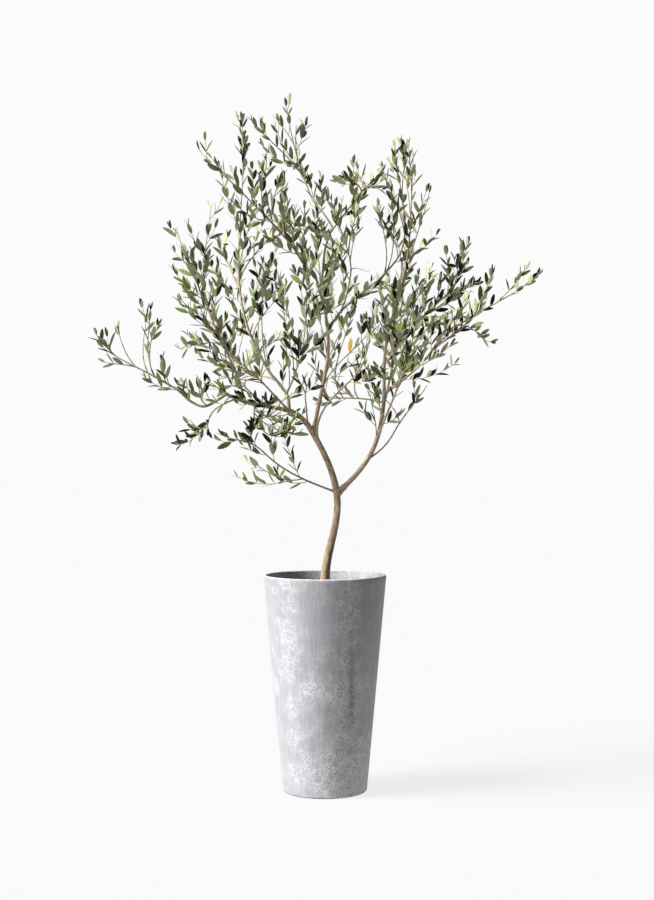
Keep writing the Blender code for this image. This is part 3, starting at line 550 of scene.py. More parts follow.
# Peaty potting soil: dark, dull and damp, with paler dry grains.
peat, shader = new_material("potting_soil", "#2a2019", 0.95)
tree = peat.node_tree
place = add(tree, "TexCoord").outputs["Object"]
grains = add(tree, "TexNoise", {"Vector": place, "Scale": 1 / GRAIN, "Detail": 4.0, "Roughness": 0.7})
damp = add(tree, "TexNoise", {"Vector": place, "Scale": 1 / DAMP_PATCH, "Detail": 2.0})
damp = add(tree, "MapRange", (damp, 0.35, 0.65), interpolation_type="SMOOTHSTEP")
earth = add(tree, "Mix", {0: damp, 6: linear("#211812"), 7: linear("#382b21")}, data_type="RGBA")
pale = add(tree, "MapRange", (grains, 0.58, 0.72), interpolation_type="SMOOTHSTEP")
earth = add(tree, "Mix", {0: pale, 6: earth, 7: linear("#5f4d3c")}, data_type="RGBA")
finish_with(tree, shader, earth, grains, 0.8, 0.001)
make_piece("soil_bed", bed, ["soil"], [peat])
make_piece("soil_crumbs", crumbs, ["soil"], [peat])

# %% [markdown]
# ## How the limbs run
# The limbs follow the rule that made the solids. Each limb is a cubic curve: it leaves its parent at
# a share of the parent's points, ends at a tip, and two bows bend the halves between. Written again
# here, the rule gives the same paths, but now they can carry bark and fine twigs.

# %% The limbs
TRUNK_FOOT = SOIL_TOP + TOUCH_GAP
TRUNK_HANDLES = (
    (-0.001, 0.0, TRUNK_FOOT), (-0.005, 0.0, 0.790), (0.115, 0.0, 0.840), (-0.050, 0.0, 1.0985),
)
TRUNK_RADII = (0.0126, 0.0080)
FLARE_WIDTH = 0.0045
FLARE_HEIGHT = 0.040
TRUNK_STEPS = 16

# Each bough's parent, the share of the parent where it leaves, its tip, and the radii at its root and
# tip. One that isn't straight has the bows of its root half and its tip half after them.
LIMBS = {
    "left": ("trunk", 1.0, (-0.29, -0.06, 1.19), (0.0076, 0.005), (0.005, 0, -0.005), (0.01, 0, -0.02)),
    "centre": ("trunk", 0.97, (-0.025, 0, 1.535), (0.0062, 0.004),
        (0.04, 0.01, 0.07), (0.065, 0.02, -0.04)),
    "centre_right": ("trunk", 0.94, (0.08, -0.14, 1.235), (0.0034, 0.0026),
        (-0.045, 0, 0.025), (-0.02, 0, 0.01)),
    "right": ("trunk", 0.66, (0.18, 0.03, 1.185), (0.0078, 0.006), (0.06, 0, 0), (0.035, 0, -0.04)),
    "low_left": ("trunk", 0.67, (-0.19, -0.04, 1.025), (0.003, 0.0022),
        (-0.01, 0, -0.01), (-0.01, 0, -0.025)),
    "low_tuft": ("low_left", 0.42, (-0.12, -0.095, 0.94), (0.0019, 0.0017), (0, 0, -0.005), (0, 0, -0.005)),
    "far_left": ("left", 1.0, (-0.49, -0.08, 1.235), (0.0046, 0.003),
        (-0.035, 0, -0.115), (0.015, 0, -0.01)),
    "droop": ("left", 0.92, (-0.355, -0.03, 1.105), (0.0026, 0.0022), (-0.01, 0, 0.01), (-0.02, 0, 0.02)),
    "left_column": ("left", 0.85, (-0.29, -0.11, 1.315), (0.0036, 0.0028), (0.01, -0.01, 0), (0.005, 0, 0)),
    "left_under": ("left", 0.76, (-0.185, -0.08, 1.085), (0.0022, 0.0019),
        (-0.015, 0, -0.01), (-0.015, 0, -0.01)),
    "upper_left": ("left", 0.43, (-0.205, 0.02, 1.33), (0.005, 0.0036),
        (0.045, 0, 0.01), (0.01, 0, -0.045)),
    "left_rise": ("left", 0.66, (-0.23, -0.02, 1.205), (0.003, 0.0026)),
    "back_left": ("upper_left", 0.6, (-0.245, 0.17, 1.27), (0.0034, 0.0026)),
    "left_inner": ("upper_left", 0.3, (-0.06, -0.12, 1.32), (0.0032, 0.0024),
        (0.005, 0, -0.005), (-0.005, 0, 0)),
    "leader": ("centre", 0.94, (0.02, -0.01, 1.695), (0.004, 0.0032), (0.005, 0, 0), (-0.02, 0, 0)),
    "left_diagonal": ("centre", 1.0, (-0.14, -0.08, 1.68), (0.0036, 0.0028),
        (-0.025, 0, -0.025), (0.015, 0, 0.005)),
    "top": ("leader", 1.0, (-0.06, 0.02, 1.84), (0.003, 0.0024), (-0.025, 0, -0.02), (-0.02, 0, -0.015)),
    "arch": ("leader", 0.94, (0.105, -0.03, 1.795), (0.003, 0.0024)),
    "link": ("centre", 0.66, (0.2, 0.06, 1.585), (0.0036, 0.0028), (-0.035, 0, 0.025), (0.01, 0, 0)),
    "right_inner": ("link", 0.27, (0.075, -0.11, 1.54), (0.0028, 0.0022), (0.005, 0, 0), (0.005, 0, 0)),
    "back": ("centre", 0.62, (-0.01, 0.19, 1.53), (0.0036, 0.0026)),
    "centre_low": ("left", 0.16, (-0.058, -0.08, 1.18), (0.0026, 0.0022)),
    "front": ("left", 0.42, (-0.17, -0.2, 1.21), (0.0036, 0.0026), (0, -0.02, 0), (0, 0, 0)),
    "right_column": ("right", 1.0, (0.215, 0.01, 1.455), (0.0056, 0.0034),
        (-0.015, 0, 0.005), (-0.025, 0, 0)),
    "right_reach": ("right_column", 0.19, (0.33, -0.035, 1.335), (0.004, 0.0028),
        (0.005, 0, -0.005), (0.01, 0, -0.015)),
    "right_crown": ("right_column", 0.72, (0.335, 0.05, 1.455), (0.0034, 0.0026)),
    "right_low": ("right", 0.39, (0.22, 0.08, 1.095), (0.003, 0.0024), (0.01, 0, -0.01), (0.01, 0, -0.01)),
    "cross": ("right", 0.96, (0.025, 0.06, 1.185), (0.0026, 0.0022), (0, 0, 0.01), (0, 0, 0.005)),
    "front_right": ("right", 0.62, (0.205, -0.15, 1.19), (0.0038, 0.0028)),
    "back_right": ("right", 0.88, (0.225, 0.19, 1.35), (0.0038, 0.0028), (0, 0, 0), (0, 0.01, 0)),
}
STRAIGHT = ((0, 0, 0), (0, 0, 0))
LEAD_LENGTH = 0.004
LIMB_STEPS = (4, 8)
LIMB_STEP_LENGTH = 0.045
UP = np.array((0.0, 0.0, 1.0))


def unit(vector):
    """The vector at length 1."""
    return vector / np.linalg.norm(vector)


def curve_points(handles, steps):
    """Cubic curve: (1-t)³ a + 3 (1-t)² t b + 3 (1-t) t² c + t³ d, for even steps of t."""
    t = np.linspace(0.0, 1.0, steps)[:, None]
    a, b, c, d = (np.asarray(handle, float) for handle in handles)
    return (1 - t) ** 3 * a + 3 * (1 - t) ** 2 * t * b + 3 * (1 - t) * t**2 * c + t**3 * d


def travelled(path):
    """Distance run along a path at each of its points."""
    return np.concatenate([[0.0], np.cumsum(np.linalg.norm(np.diff(path, axis=0), axis=1))])


def at_share(path, share):
    """Point and direction at a share of a path's points."""
    place = share * (len(path) - 1)
    low = min(int(place), len(path) - 2)
    step = path[low + 1] - path[low]
    return path[low] + step * (place - low), unit(step)


def read_at(shares, values):
    """Values that stand evenly from 0 to 1, read at these shares of the way."""
    return np.interp(shares, np.linspace(0.0, 1.0, len(values)), values)


def grow_limbs():
    """Every limb's path and the radius at each of its points, by name. A limb that carries on from
    its parent's tip first runs straight on."""
    trunk = curve_points(TRUNK_HANDLES, TRUNK_STEPS)
    rise = trunk[:, 2] - trunk[0, 2]
    taper = np.linspace(*TRUNK_RADII, TRUNK_STEPS)
    paths = {"trunk": trunk}
    radii = {"trunk": taper + FLARE_WIDTH * np.exp(-rise / FLARE_HEIGHT)}
    for name, (parent, share, tip, ends, *bows) in LIMBS.items():
        start, heading = at_share(paths[parent], share)
        tip = np.array(tip)
        root_bow, tip_bow = np.array(bows or STRAIGHT)
        start = start + heading * TOUCH_GAP * (share == 1.0)
        chord = tip - start
        length = np.linalg.norm(chord)
        steps = int(np.clip(round(length / LIMB_STEP_LENGTH), *LIMB_STEPS))
        last = tip - chord / 3 + tip_bow
        if share == 1.0:
            lead = start + heading * LEAD_LENGTH
            path = curve_points((lead, lead + heading * length / 3 + root_bow, last, tip), steps)
            paths[name] = np.vstack([start, path])
        else:
            paths[name] = curve_points((start, start + chord / 3 + root_bow, last, tip), steps)
        radii[name] = np.linspace(*ends, len(paths[name]))
    return paths, radii


limbs, limb_radii = grow_limbs()
lengths = {name: travelled(path)[-1] for name, path in limbs.items()}
longest = max(LIMBS, key=lengths.get)
print(len(limbs), "limbs; the longest is", longest, "with", round(1000 * lengths[longest]), "mm")

# %% [markdown]
# ## Smooth paths and bark
# The solids' paths have a few straight steps. A real limb bends smoothly, so each path is run through
# a soft curve first. Bark on a young olive is thin: shallow lengthwise ribs, fine rings, small knots
# where leaves once stood, and a collar where one limb leaves another. Each is a small change of the
# radius over the unrolled surface, so a limb is a tube with its own relief.

# %% Bark relief
RING_LENGTH = 0.0022
LIMB_SIDES = 18
TRUNK_SIDES = 44
FIRST_LIMB_SEED = 100
RIBS = 7
RIB_LENGTH = 0.045
RIB_TWIST = 0.3
RIB_DEPTH = 0.055
GRAIN_LENGTH = 0.012
GRAIN_DEPTH = 0.022
RING_WAVES = 5
RING_WAVE_LENGTH = 0.005
RING_DEPTH = 0.6 * GRAIN_DEPTH
KNOT_SPACING = 0.038
KNOT_HEIGHT = 0.16
KNOT_HEIGHT_SHARES = (0.3, 1.0)
TRUNK_KNOT_HEIGHT = 0.4 * KNOT_HEIGHT
# How far a knot reaches: a share of the way round, and metres along.
KNOT_WIDTH = 0.11
KNOT_LENGTH = 0.0045
# How far a knot strays: a share of the spacing, and a share of the way round.
KNOT_STRAY = 0.3
KNOT_TURN_STRAY = 0.06
COLLAR = 0.55
COLLAR_REACH = 2.2
# The bark is young at this radius, and old where a limb is thicker than that by the span.
YOUNG_RADIUS = 0.002
AGE_SPAN = 0.006


def softened(path, spacing):
    """The path as a smooth curve through its own points: between two of them it is the cubic whose
    slopes there are half the step from the point before to the point after."""
    before = np.vstack([2 * path[0] - path[1], path[:-1]])
    after = np.vstack([path[1:], 2 * path[-1] - path[-2]])
    slope = (after - before) / 2
    run = travelled(path)
    count = max(3, int(run[-1] / spacing) + 1)
    place = np.interp(np.linspace(0.0, run[-1], count), run, np.arange(len(path)))
    low = np.minimum(place.astype(int), len(path) - 2)
    t = (place - low)[:, None]
    return ((2 * t**3 - 3 * t**2 + 1) * path[low] + (t**3 - 2 * t**2 + t) * slope[low]
            + (3 * t**2 - 2 * t**3) * path[low + 1] + (t**3 - t**2) * slope[low + 1])


def tube(path, radii, sides, relief=0.0):
    """A closed tube. Each ring stands square to the path, at path + r (1 + relief) × (cos a × side
    + sin a × rise); side is square to the path and to the axis that the path runs least along."""
    ahead = np.gradient(path, axis=0)
    ahead /= np.linalg.norm(ahead, axis=1)[:, None]
    axis = np.eye(3)[np.abs(ahead).max(axis=0).argmin()]
    side = np.cross(axis, ahead)
    side /= np.linalg.norm(side, axis=1)[:, None]
    rise = np.cross(ahead, side)
    a = full_turn(sides)[None, :, None]
    around = np.cos(a) * side[:, None] + np.sin(a) * rise[:, None]
    reach = (radii[:, None] * (1.0 + relief) + np.zeros((1, sides)))[..., None]
    rings = path[:, None] + reach * around
    points = np.vstack([rings.reshape(-1, 3), path[:1], path[-1:]])
    return points, *ring_faces(len(path), sides)


def bark_relief(random, length, sides, count, knot_height):
    """Share by which the bark stands out over a limb's unrolled surface."""
    turn, along = np.meshgrid(np.arange(sides) / sides, np.linspace(0.0, 1.0, count))
    relief = 0
    for depth, twist, columns, size in ((RIB_DEPTH, RIB_TWIST, RIBS, RIB_LENGTH),
                                        (GRAIN_DEPTH, 0.0, sides // 2, GRAIN_LENGTH),
                                        (RING_DEPTH, 0.0, RING_WAVES, RING_WAVE_LENGTH)):
        relief += depth * ripples(random, turn + along * twist, along, columns, max(2, int(length / size)))
    place = along * length
    for number, knot in enumerate(np.arange(0.5 * KNOT_SPACING, length, KNOT_SPACING)):
        knot += random.uniform(-KNOT_STRAY, KNOT_STRAY) * KNOT_SPACING
        facing = (0.25 * (number % 2) + np.array((0.0, 0.5)))[:, None, None]
        facing = facing + random.uniform(-KNOT_TURN_STRAY, KNOT_TURN_STRAY)
        away = np.abs((turn - facing + 0.5) % 1.0 - 0.5) / KNOT_WIDTH
        swell = np.exp(-(away**2)).sum(axis=0)
        height = knot_height * random.uniform(*KNOT_HEIGHT_SHARES)
        relief += height * swell * np.exp(-(((place - knot) / KNOT_LENGTH) ** 2))
    return relief


def ring_map(quads, sides, girth, heights):
    """Where each face's corners lie on the unrolled surface, in metres: round it and along it."""
    round_it = (quads[:, :1] % sides + (0, 1, 1, 0)) * girth / sides
    ends = np.zeros((2 * sides, 3, 2))
    ends[sides:, :, 1] = heights[-1]
    return np.stack([round_it, heights[quads // sides]], axis=-1), ends


limb_shapes, limb_tones, limb_maps = {}, {}, {}
for number, (name, path) in enumerate(limbs.items()):
    random = np.random.default_rng(FIRST_LIMB_SEED + number)
    smooth = softened(path, RING_LENGTH)
    run = travelled(smooth)
    radii = read_at(run / run[-1], limb_radii[name])
    sides, knot_height = TRUNK_SIDES, TRUNK_KNOT_HEIGHT
    if name != "trunk":
        sides, knot_height = LIMB_SIDES, KNOT_HEIGHT
        parent, share = LIMBS[name][:2]
        past_parent = np.maximum(run - read_at(share, limb_radii[parent]), 0.0)
        collar = COLLAR * np.exp(-past_parent / (COLLAR_REACH * radii[0]))
        radii = radii * (1.0 + collar * (share < 1.0))
    relief = bark_relief(random, run[-1], sides, len(smooth), knot_height)
    limb_shapes[name] = tube(smooth, radii, sides, relief)
    limb_maps[name] = ring_map(limb_shapes[name][1], sides, 2 * np.pi * radii.mean(), run)
    age = np.clip((radii - YOUNG_RADIUS) / AGE_SPAN, 0.0, 1.0)
    limb_tones[name] = np.append(np.repeat(age, sides), [age[0], age[-1]])
print("thickest limb is", round(2000 * limb_radii["trunk"].max(), 1), "mm across")

# %% [markdown]
# ## The bark's finish
# Young olive bark is grey-brown, greener and smoother on thin wood and browner on old. Its colour
# varies in long streaks that follow the limb, so this finish reads a map of the unrolled surface,
# in metres, and each point's age, which comes from how thick the limb is there.

# %% Bark finish
BARK_STREAK = (0.0016, 0.030)
BROWN_FOOT = 0.22
LICHEN = 0.012

# Olive bark, thin and matt: grey-brown streaks along the limb, with dull grey-green patches, and
# browner and darker towards the foot.
bark, shader = new_material("olive_bark", "#8f7b66", 0.86)
tree = bark.node_tree
place = add(tree, "TexCoord").outputs["Object"]
unrolled = add(tree, "UVMap", uv_map="unrolled")
stretch = (1 / BARK_STREAK[0], 1 / BARK_STREAK[1], 1.0)
unrolled = add(tree, "Mapping", {"Vector": unrolled, "Scale": stretch})
age = add(tree, "Attribute", attribute_name="age").outputs["Fac"]
streaks = add(tree, "TexNoise", {"Vector": unrolled, "Scale": 1.0, "Detail": 3.0, "Roughness": 0.6})
tone = add(tree, "MapRange", (streaks, 0.36, 0.64), interpolation_type="SMOOTHSTEP")
old = add(tree, "Mix", {0: tone, 6: linear("#7f6852"), 7: linear("#cfb79b")}, data_type="RGBA")
young = add(tree, "Mix", {0: tone, 6: linear("#7c6f5c"), 7: linear("#bdb096")}, data_type="RGBA")
wood = add(tree, "Mix", {0: age, 6: young, 7: old}, data_type="RGBA")
patches = add(tree, "TexNoise", {"Vector": place, "Scale": 1 / LICHEN, "Detail": 3.0, "Roughness": 0.6})
patches = add(tree, "MapRange", (patches, 0.54, 0.68, 0.0, 0.6), interpolation_type="SMOOTHSTEP")
wood = add(tree, "Mix", {0: patches, 6: wood, 7: linear("#a09d88")}, data_type="RGBA")
height = add(tree, "SeparateXYZ", (place,)).outputs[2]
brown = add(tree, "MapRange", (height, TRUNK_FOOT, TRUNK_FOOT + BROWN_FOOT, 0.5, 0.0))
wood = add(tree, "Mix", {0: brown, 6: wood, 7: linear("#77604a")}, data_type="RGBA")
finish_with(tree, shader, wood, streaks, 0.6, 0.0008)


def make_bark(name, members, nodes):
    """One piece of bark from the tubes of these limbs, with its map and its ages."""
    shape = joined([limb_shapes[member] for member in members])
    piece = make_piece(name, shape, nodes, [bark], 60.0)
    corners = [limb_maps[member][kind].ravel() for kind in (0, 1) for member in members]
    piece.data.uv_layers.new(name="unrolled").data.foreach_set("uv", np.concatenate(corners))
    keep_values(piece, "age", np.concatenate([limb_tones[member] for member in members]))


make_bark("trunk_bark", ["trunk"], ["trunk"])
make_bark("bough_bark", list(LIMBS), [name + "_bough" for name in LIMBS])

# %% [markdown]
# ## How the foliage grows
# The rule of the solids again, carried to finer twigs. Each mass has a stem that carries on from its
# bough, and side twigs with a place for each tip. Shoots leave these, each turned on by the golden
# angle, and rise.
# Leaves stand in opposite pairs, each pair square to the last. A shoot grows only where its outer
# half stands clear of the others, which spreads the leaves evenly and leaves sky between them.

# %% Masses of foliage
# For each mass, which has its bough's name: how full it is and its stem's tip, and then for each side
# twig the share of the stem where it leaves and the place of its tip. A side twig that leaves a bough
# and not the stem has that bough's name after it.
MASSES = {
    "far_left": (0.5, (-0.685, -0.1, 1.355), (0.08, -0.515, -0.1, 1.48), (0.42, -0.63, -0.05, 1.425),
        (0.2, -0.53, -0.05, 1.46), (0.1, -0.5, -0.12, 1.43), (0.75, -0.7, -0.06, 1.4),
        (0.4, -0.69, -0.08, 1.3), (0.9, -0.48, -0.06, 1.34, "far_left")),
    "droop": (1.0, (-0.445, -0.07, 1.1), (0.2, -0.385, 0.03, 1.045), (0.3, -0.44, -0.03, 1.13),
        (0.1, -0.42, -0.1, 1.09), (0.95, -0.33, -0.03, 1.13, "left"), (0.9, -0.35, -0.06, 1.06, "droop")),
    "low_left": (1.0, (-0.335, -0.07, 1.085), (0.2, -0.245, -0.1, 1.085)),
    "low_tuft": (1.0, (-0.225, -0.13, 1.005), (0.2, -0.16, -0.07, 0.99)),
    "left_under": (1.2, (-0.095, -0.11, 1.07), (0.1, -0.2, -0.14, 1.13), (0.4, -0.075, -0.05, 1.14),
        (0.7, -0.27, -0.13, 1.2, "left"), (0.5, -0.07, -0.12, 1.12), (0.4, -0.06, -0.05, 1.22, "left"),
        (0.2, -0.055, -0.09, 1.15, "left_under"), (0.3, -0.05, -0.05, 1.07, "left_under"),
        (0.5, -0.11, -0.05, 1.18, "left_under"), (0.8, -0.19, -0.1, 1.16, "left_under"),
        (0.1, -0.05, -0.07, 1.1, "left_under")),
    "left_rise": (0.7, (-0.295, 0.05, 1.46), (0.06, -0.37, 0.05, 1.215), (0.1, -0.165, 0.02, 1.26),
        (0.3, -0.375, -0.1, 1.26, "far_left"), (0.9, -0.36, -0.13, 1.25, "left")),
    "left_column": (0.85, (-0.425, -0.05, 1.655), (0.06, -0.45, -0.12, 1.335), (0.14, -0.44, -0.18, 1.49),
        (0.3, -0.37, -0.14, 1.59), (0.5, -0.335, -0.08, 1.78), (0.45, -0.445, -0.1, 1.7),
        (0.6, -0.4, -0.16, 1.66)),
    "upper_left": (0.55, (-0.25, 0.06, 1.985), (0.06, -0.105, 0.06, 1.55), (0.25, -0.345, 0.16, 1.72),
        (0.35, -0.12, 0.12, 1.76), (0.55, -0.165, 0.02, 1.94), (0.4, -0.215, -0.04, 1.75),
        (0.7, -0.185, -0.06, 1.62, "upper_left"), (0.95, -0.16, 0.05, 1.64, "upper_left"),
        (0.85, -0.252, 0.06, 2.07)),
    "left_diagonal": (0.5, (-0.355, -0.1, 1.92), (0.08, -0.13, -0.12, 1.85), (0.16, -0.215, -0.2, 1.76),
        (0.5, -0.395, -0.06, 1.95), (0.2, -0.165, -0.16, 1.92), (0.6, -0.19, -0.02, 1.8, "left_diagonal"),
        (0.5, -0.12, -0.03, 1.8, "left_diagonal"), (0.8, -0.125, -0.05, 1.87, "left_diagonal")),
    "top": (0.5, (-0.125, 0.03, 2.11), (0.06, -0.24, -0.02, 2.045), (0.25, -0.1, 0.14, 1.9),
        (0.35, -0.085, -0.06, 2.03), (0.5, -0.16, 0.05, 2.06)),
    "arch": (0.9, (0.19, 0, 1.89), (0.08, 0.03, -0.08, 1.85), (0.2, 0.08, 0.07, 1.87),
        (0.3, 0.19, -0.1, 1.79), (0.05, 0.045, 0.03, 1.86), (0.5, 0.12, -0.05, 1.74, "arch"),
        (0.3, 0.05, -0.05, 1.8, "arch")),
    "right_inner": (0.8, (0.01, -0.15, 1.79), (0.1, 0.16, -0.2, 1.54), (0.2, 0.085, -0.22, 1.64),
        (0.3, -0.09, -0.18, 1.7), (0.3, 0.1, -0.12, 1.76), (0.2, 0.11, -0.06, 1.74)),
    "link": (0.9, (0.21, 0.05, 1.99), (0.1, 0.16, 0.14, 1.76), (0.35, 0.2, 0.16, 1.88),
        (0.6, 0.25, -0.02, 1.97), (0.9, 0.16, 0.02, 1.79, "link"), (0.95, 0.2, -0.02, 1.84, "link"),
        (0.3, 0.165, 0.05, 1.92)),
    "right_column": (0.5, (0.265, -0.06, 1.935), (0.06, 0.16, -0.11, 1.54), (0.2, 0.325, 0.02, 1.845),
        (0.6, 0.225, 0.03, 1.985), (0.75, 0.245, -0.1, 1.96), (0.8, 0.27, -0.03, 1.64, "right_column"),
        (0.7, 0.235, -0.06, 1.6, "right_column"), (0.1, 0.245, 0.03, 1.66),
        (0.6, 0.165, -0.05, 1.54, "right_column"), (0.3, 0.19, 0.06, 1.49, "right_column")),
    "right_crown": (0.65, (0.44, 0, 1.685), (0.08, 0.42, 0.14, 1.52), (0.25, 0.48, -0.06, 1.54),
        (0.4, 0.4, -0.05, 1.62), (0.3, 0.37, 0.04, 1.6), (0.4, 0.36, -0.02, 1.42, "right_crown"),
        (0.7, 0.4, -0.02, 1.54, "right_crown"), (0.9, 0.35, -0.04, 1.57, "right_crown")),
    "right_reach": (0.55, (0.66, -0.05, 1.575), (0.06, 0.415, -0.13, 1.43), (0.25, 0.505, 0.05, 1.37),
        (0.6, 0.62, -0.02, 1.6), (0.7, 0.37, -0.1, 1.42, "right_reach"), (0.15, 0.44, -0.06, 1.52),
        (0.8, 0.43, -0.02, 1.5, "right_reach"), (0.9, 0.44, -0.08, 1.42, "right_reach")),
    "right_low": (0.5, (0.335, 0.12, 1.26), (0.1, 0.155, 0.13, 1.23), (0.3, 0.29, 0.02, 1.2)),
    "cross": (1.0, (0.05, 0.07, 1.4), (0.1, 0, 0.14, 1.31), (0.3, 0.15, 0.08, 1.41),
        (0.8, 0.09, -0.02, 1.48, "cross"), (0.6, 0.13, -0.04, 1.22, "right"),
        (0.8, 0.12, -0.03, 1.3, "right"), (0.5, 0.115, -0.01, 1.33, "cross")),
    "centre_right": (1.0, (0.145, -0.2, 1.47), (0.08, 0.045, -0.22, 1.31), (0.14, 0.17, -0.12, 1.27),
        (0.45, 0.1, -0.08, 1.5, "centre")),
    "left_inner": (0.7, (-0.075, -0.14, 1.53), (0.06, -0.14, -0.17, 1.37), (0.4, 0.01, -0.1, 1.46),
        (0.6, -0.15, -0.14, 1.6, "left_inner"), (0.8, -0.05, -0.17, 1.62, "left_inner"),
        (0.4, -0.13, -0.1, 1.48, "left_inner"), (0.15, -0.125, -0.06, 1.4, "left_inner")),
    "centre_low": (0.8, (-0.02, -0.13, 1.3), (0.15, -0.105, -0.13, 1.28),
        (0.5, -0.07, -0.05, 1.6, "centre")),
    "front": (0.6, (-0.31, -0.36, 1.36), (0.08, -0.33, -0.27, 1.25), (0.15, -0.13, -0.36, 1.3),
        (0.3, -0.22, -0.4, 1.33)),
    "back": (0.8, (-0.04, 0.3, 1.84), (0.1, 0.09, 0.34, 1.7), (0.2, -0.14, 0.34, 1.73),
        (0.06, 0.02, 0.36, 1.57)),
    "front_right": (0.9, (0.27, -0.36, 1.45), (0.08, 0.13, -0.3, 1.28), (0.15, 0.34, -0.24, 1.32),
        (0.3, 0.19, -0.38, 1.4)),
    "back_right": (0.9, (0.35, 0.36, 1.64), (0.06, 0.11, 0.34, 1.42), (0.15, 0.23, 0.4, 1.58),
        (0.25, 0.425, 0.3, 1.48)),
    "back_left": (0.9, (-0.4, 0.33, 1.545), (0.06, -0.11, 0.36, 1.44), (0.15, -0.22, 0.38, 1.56),
        (0.25, -0.44, 0.26, 1.4)),
}

# Openings and thin places: across, height and radius on the tree's own plane, and the share of the
# shoots and leaves there that are left out.
THIN = (
    (-0.235, 1.4, 0.08, 0.7), (-0.22, 1.3, 0.095, 0.9), (-0.02, 1.37, 0.08, 0.2), (0.045, 1.23, 0.07, 0.85),
    (-0.29, 1.83, 0.07, 0.8), (0.26, 1.83, 0.075, 0.6), (-0.37, 1.7, 0.08, 0.6), (-0.12, 1.97, 0.07, 0.8),
    (0.07, 1.36, 0.065, 0.75), (-0.06, 1.47, 0.08, 0.4), (-0.57, 1.34, 0.08, 0.9), (0.18, 1.13, 0.08, 0.7),
    (0.29, 1.18, 0.08, 0.8), (-0.13, 0.97, 0.09, 0.6), (-0.43, 1.15, 0.06, 0.7), (0.56, 1.5, 0.07, 0.4),
    (0.135, 1.625, 0.085, 0.85), (-0.22, 1.74, 0.07, 0.4), (0.39, 1.78, 0.06, 1.0), (0.32, 1.69, 0.05, 0.6),
    (-0.11, 1.2, 0.06, 0.7), (0.18, 1.35, 0.06, 0.4), (0.32, 1.27, 0.05, 0.6), (-0.45, 1.34, 0.04, 0.6),
    (-0.21, 1.06, 0.05, 0.3), (-0.36, 1.96, 0.05, 0.8), (-0.3, 1.92, 0.05, 0.5), (0.32, 1.48, 0.05, 0.4),
    (-0.25, 1.81, 0.055, 0.7), (-0.18, 1.47, 0.045, 0.5), (0.08, 1.55, 0.05, 0.5), (-0.04, 1.26, 0.05, 0.5),
    (-0.15, 0.96, 0.06, 0.4),
)

STEM_STEPS = 10
SIDE_STEPS = 8
SHOOT_STEPS = 6
TIP_RISE = 0.4
SHOOT_SPACING = 0.032
LAST_SHOOT_SHARE = 0.4
LIMB_SHOOT_SPACING = 0.030
LIMB_SHOOT_LENGTHS = (0.070, 0.190)
BARE_SHARE = 0.35
SHOOT_ANGLE = math.radians(42)
SHOOT_RISE = 0.75
SHOOT_LENGTHS = (0.055, 0.210)
SHOOT_SHARE = 0.60
SHOOT_LENGTH_SPREAD = (0.80, 1.25)
LEAST_LENGTH = 0.035
OTHER_TURNS = (0.0, 0.9, -0.9, 1.8, -1.8)
GOLDEN_ANGLE = math.radians(137.5)
TIP_LEAF_REACH = 0.040
LIMB_MARGIN = 0.001
SHOOT_CLEARANCE = 0.046
SPACE_SAMPLE = 0.008
LIMB_SAMPLE = 0.004
SHOOT_SAMPLE = 0.006
NEARLY_UPRIGHT = 0.001
SEED = 20


def at_distance(path, distance):
    """Point and direction at a distance along a path."""
    run = travelled(path)
    low = int(np.clip(np.searchsorted(run, distance, side="right") - 1, 0, len(path) - 2))
    step = path[low + 1] - path[low]
    return path[low] + step * (distance - run[low]) / (run[low + 1] - run[low]), unit(step)


def resampled(path, length, count):
    """So many even points along a path, up to this length of it."""
    run = travelled(path)
    stations = np.linspace(0.0, length, count)
    return np.column_stack([np.interp(stations, run, path[:, axis]) for axis in range(3)])


def dense(path, spacing):
    """The path with a point about every spacing."""
    length = travelled(path)[-1]
    return resampled(path, length, max(2, int(length / spacing) + 1))


def twig_path(start, first, tip, steps):
    """A twig whose end turns upwards, without the stretch that the leaves at its tip cover."""
    chord = tip - start
    last = tip - unit(unit(chord) + TIP_RISE * UP) * np.linalg.norm(chord) / 3
    path = curve_points((start, first, last, tip), steps)
    return resampled(path, max(travelled(path)[-1] - TIP_LEAF_REACH, LEAST_LENGTH), steps)


def stem_path(limb, tip):
    """A mass's stem, which carries on from its limb's tip."""
    start, heading = at_share(limb, 1.0)
    start = start + heading * TOUCH_GAP
    lead = start + heading * LEAD_LENGTH
    reach = np.linalg.norm(tip - lead) / 3
    return np.vstack([start, twig_path(lead, lead + heading * reach, tip, STEM_STEPS)])


def side_path(carrier, share, tip):
    """A side twig, from a share of the stem or limb that carries it to its tip."""
    start, lean = at_distance(carrier, share * travelled(carrier)[-1])
    chord = tip - start
    first = start + unit(lean + unit(chord)) * np.linalg.norm(chord) / 3
    return twig_path(start, first, tip, SIDE_STEPS)


def square_to(direction, turn):
    """Unit vector square to a direction, turned about it from the level."""
    level = np.cross(UP, direction)
    level = unit(level) if np.linalg.norm(level) > NEARLY_UPRIGHT else np.array((1.0, 0.0, 0.0))
    return math.cos(turn) * level + math.sin(turn) * np.cross(direction, level)


def shoot_path(start, lean, turn, length):
    """A shoot that leaves a twig at a slant and then bends upwards."""
    out = unit(math.cos(SHOOT_ANGLE) * lean + math.sin(SHOOT_ANGLE) * square_to(lean, turn))
    risen = unit(out + SHOOT_RISE * UP)
    third = length / 3
    first = start + out * third
    second = first + unit(out + risen) * third
    return curve_points((start, first, second, second + risen * third), SHOOT_STEPS)


def clear(points):
    """Whether each point is in the solids' box and clear of every limb's surface."""
    away = np.linalg.norm(points[:, None] - limb_points[None], axis=2)
    inside = (points > cad_low).all(axis=1) & (points < cad_high).all(axis=1)
    return inside & ((away - limb_reach).min(axis=1) > LIMB_MARGIN)


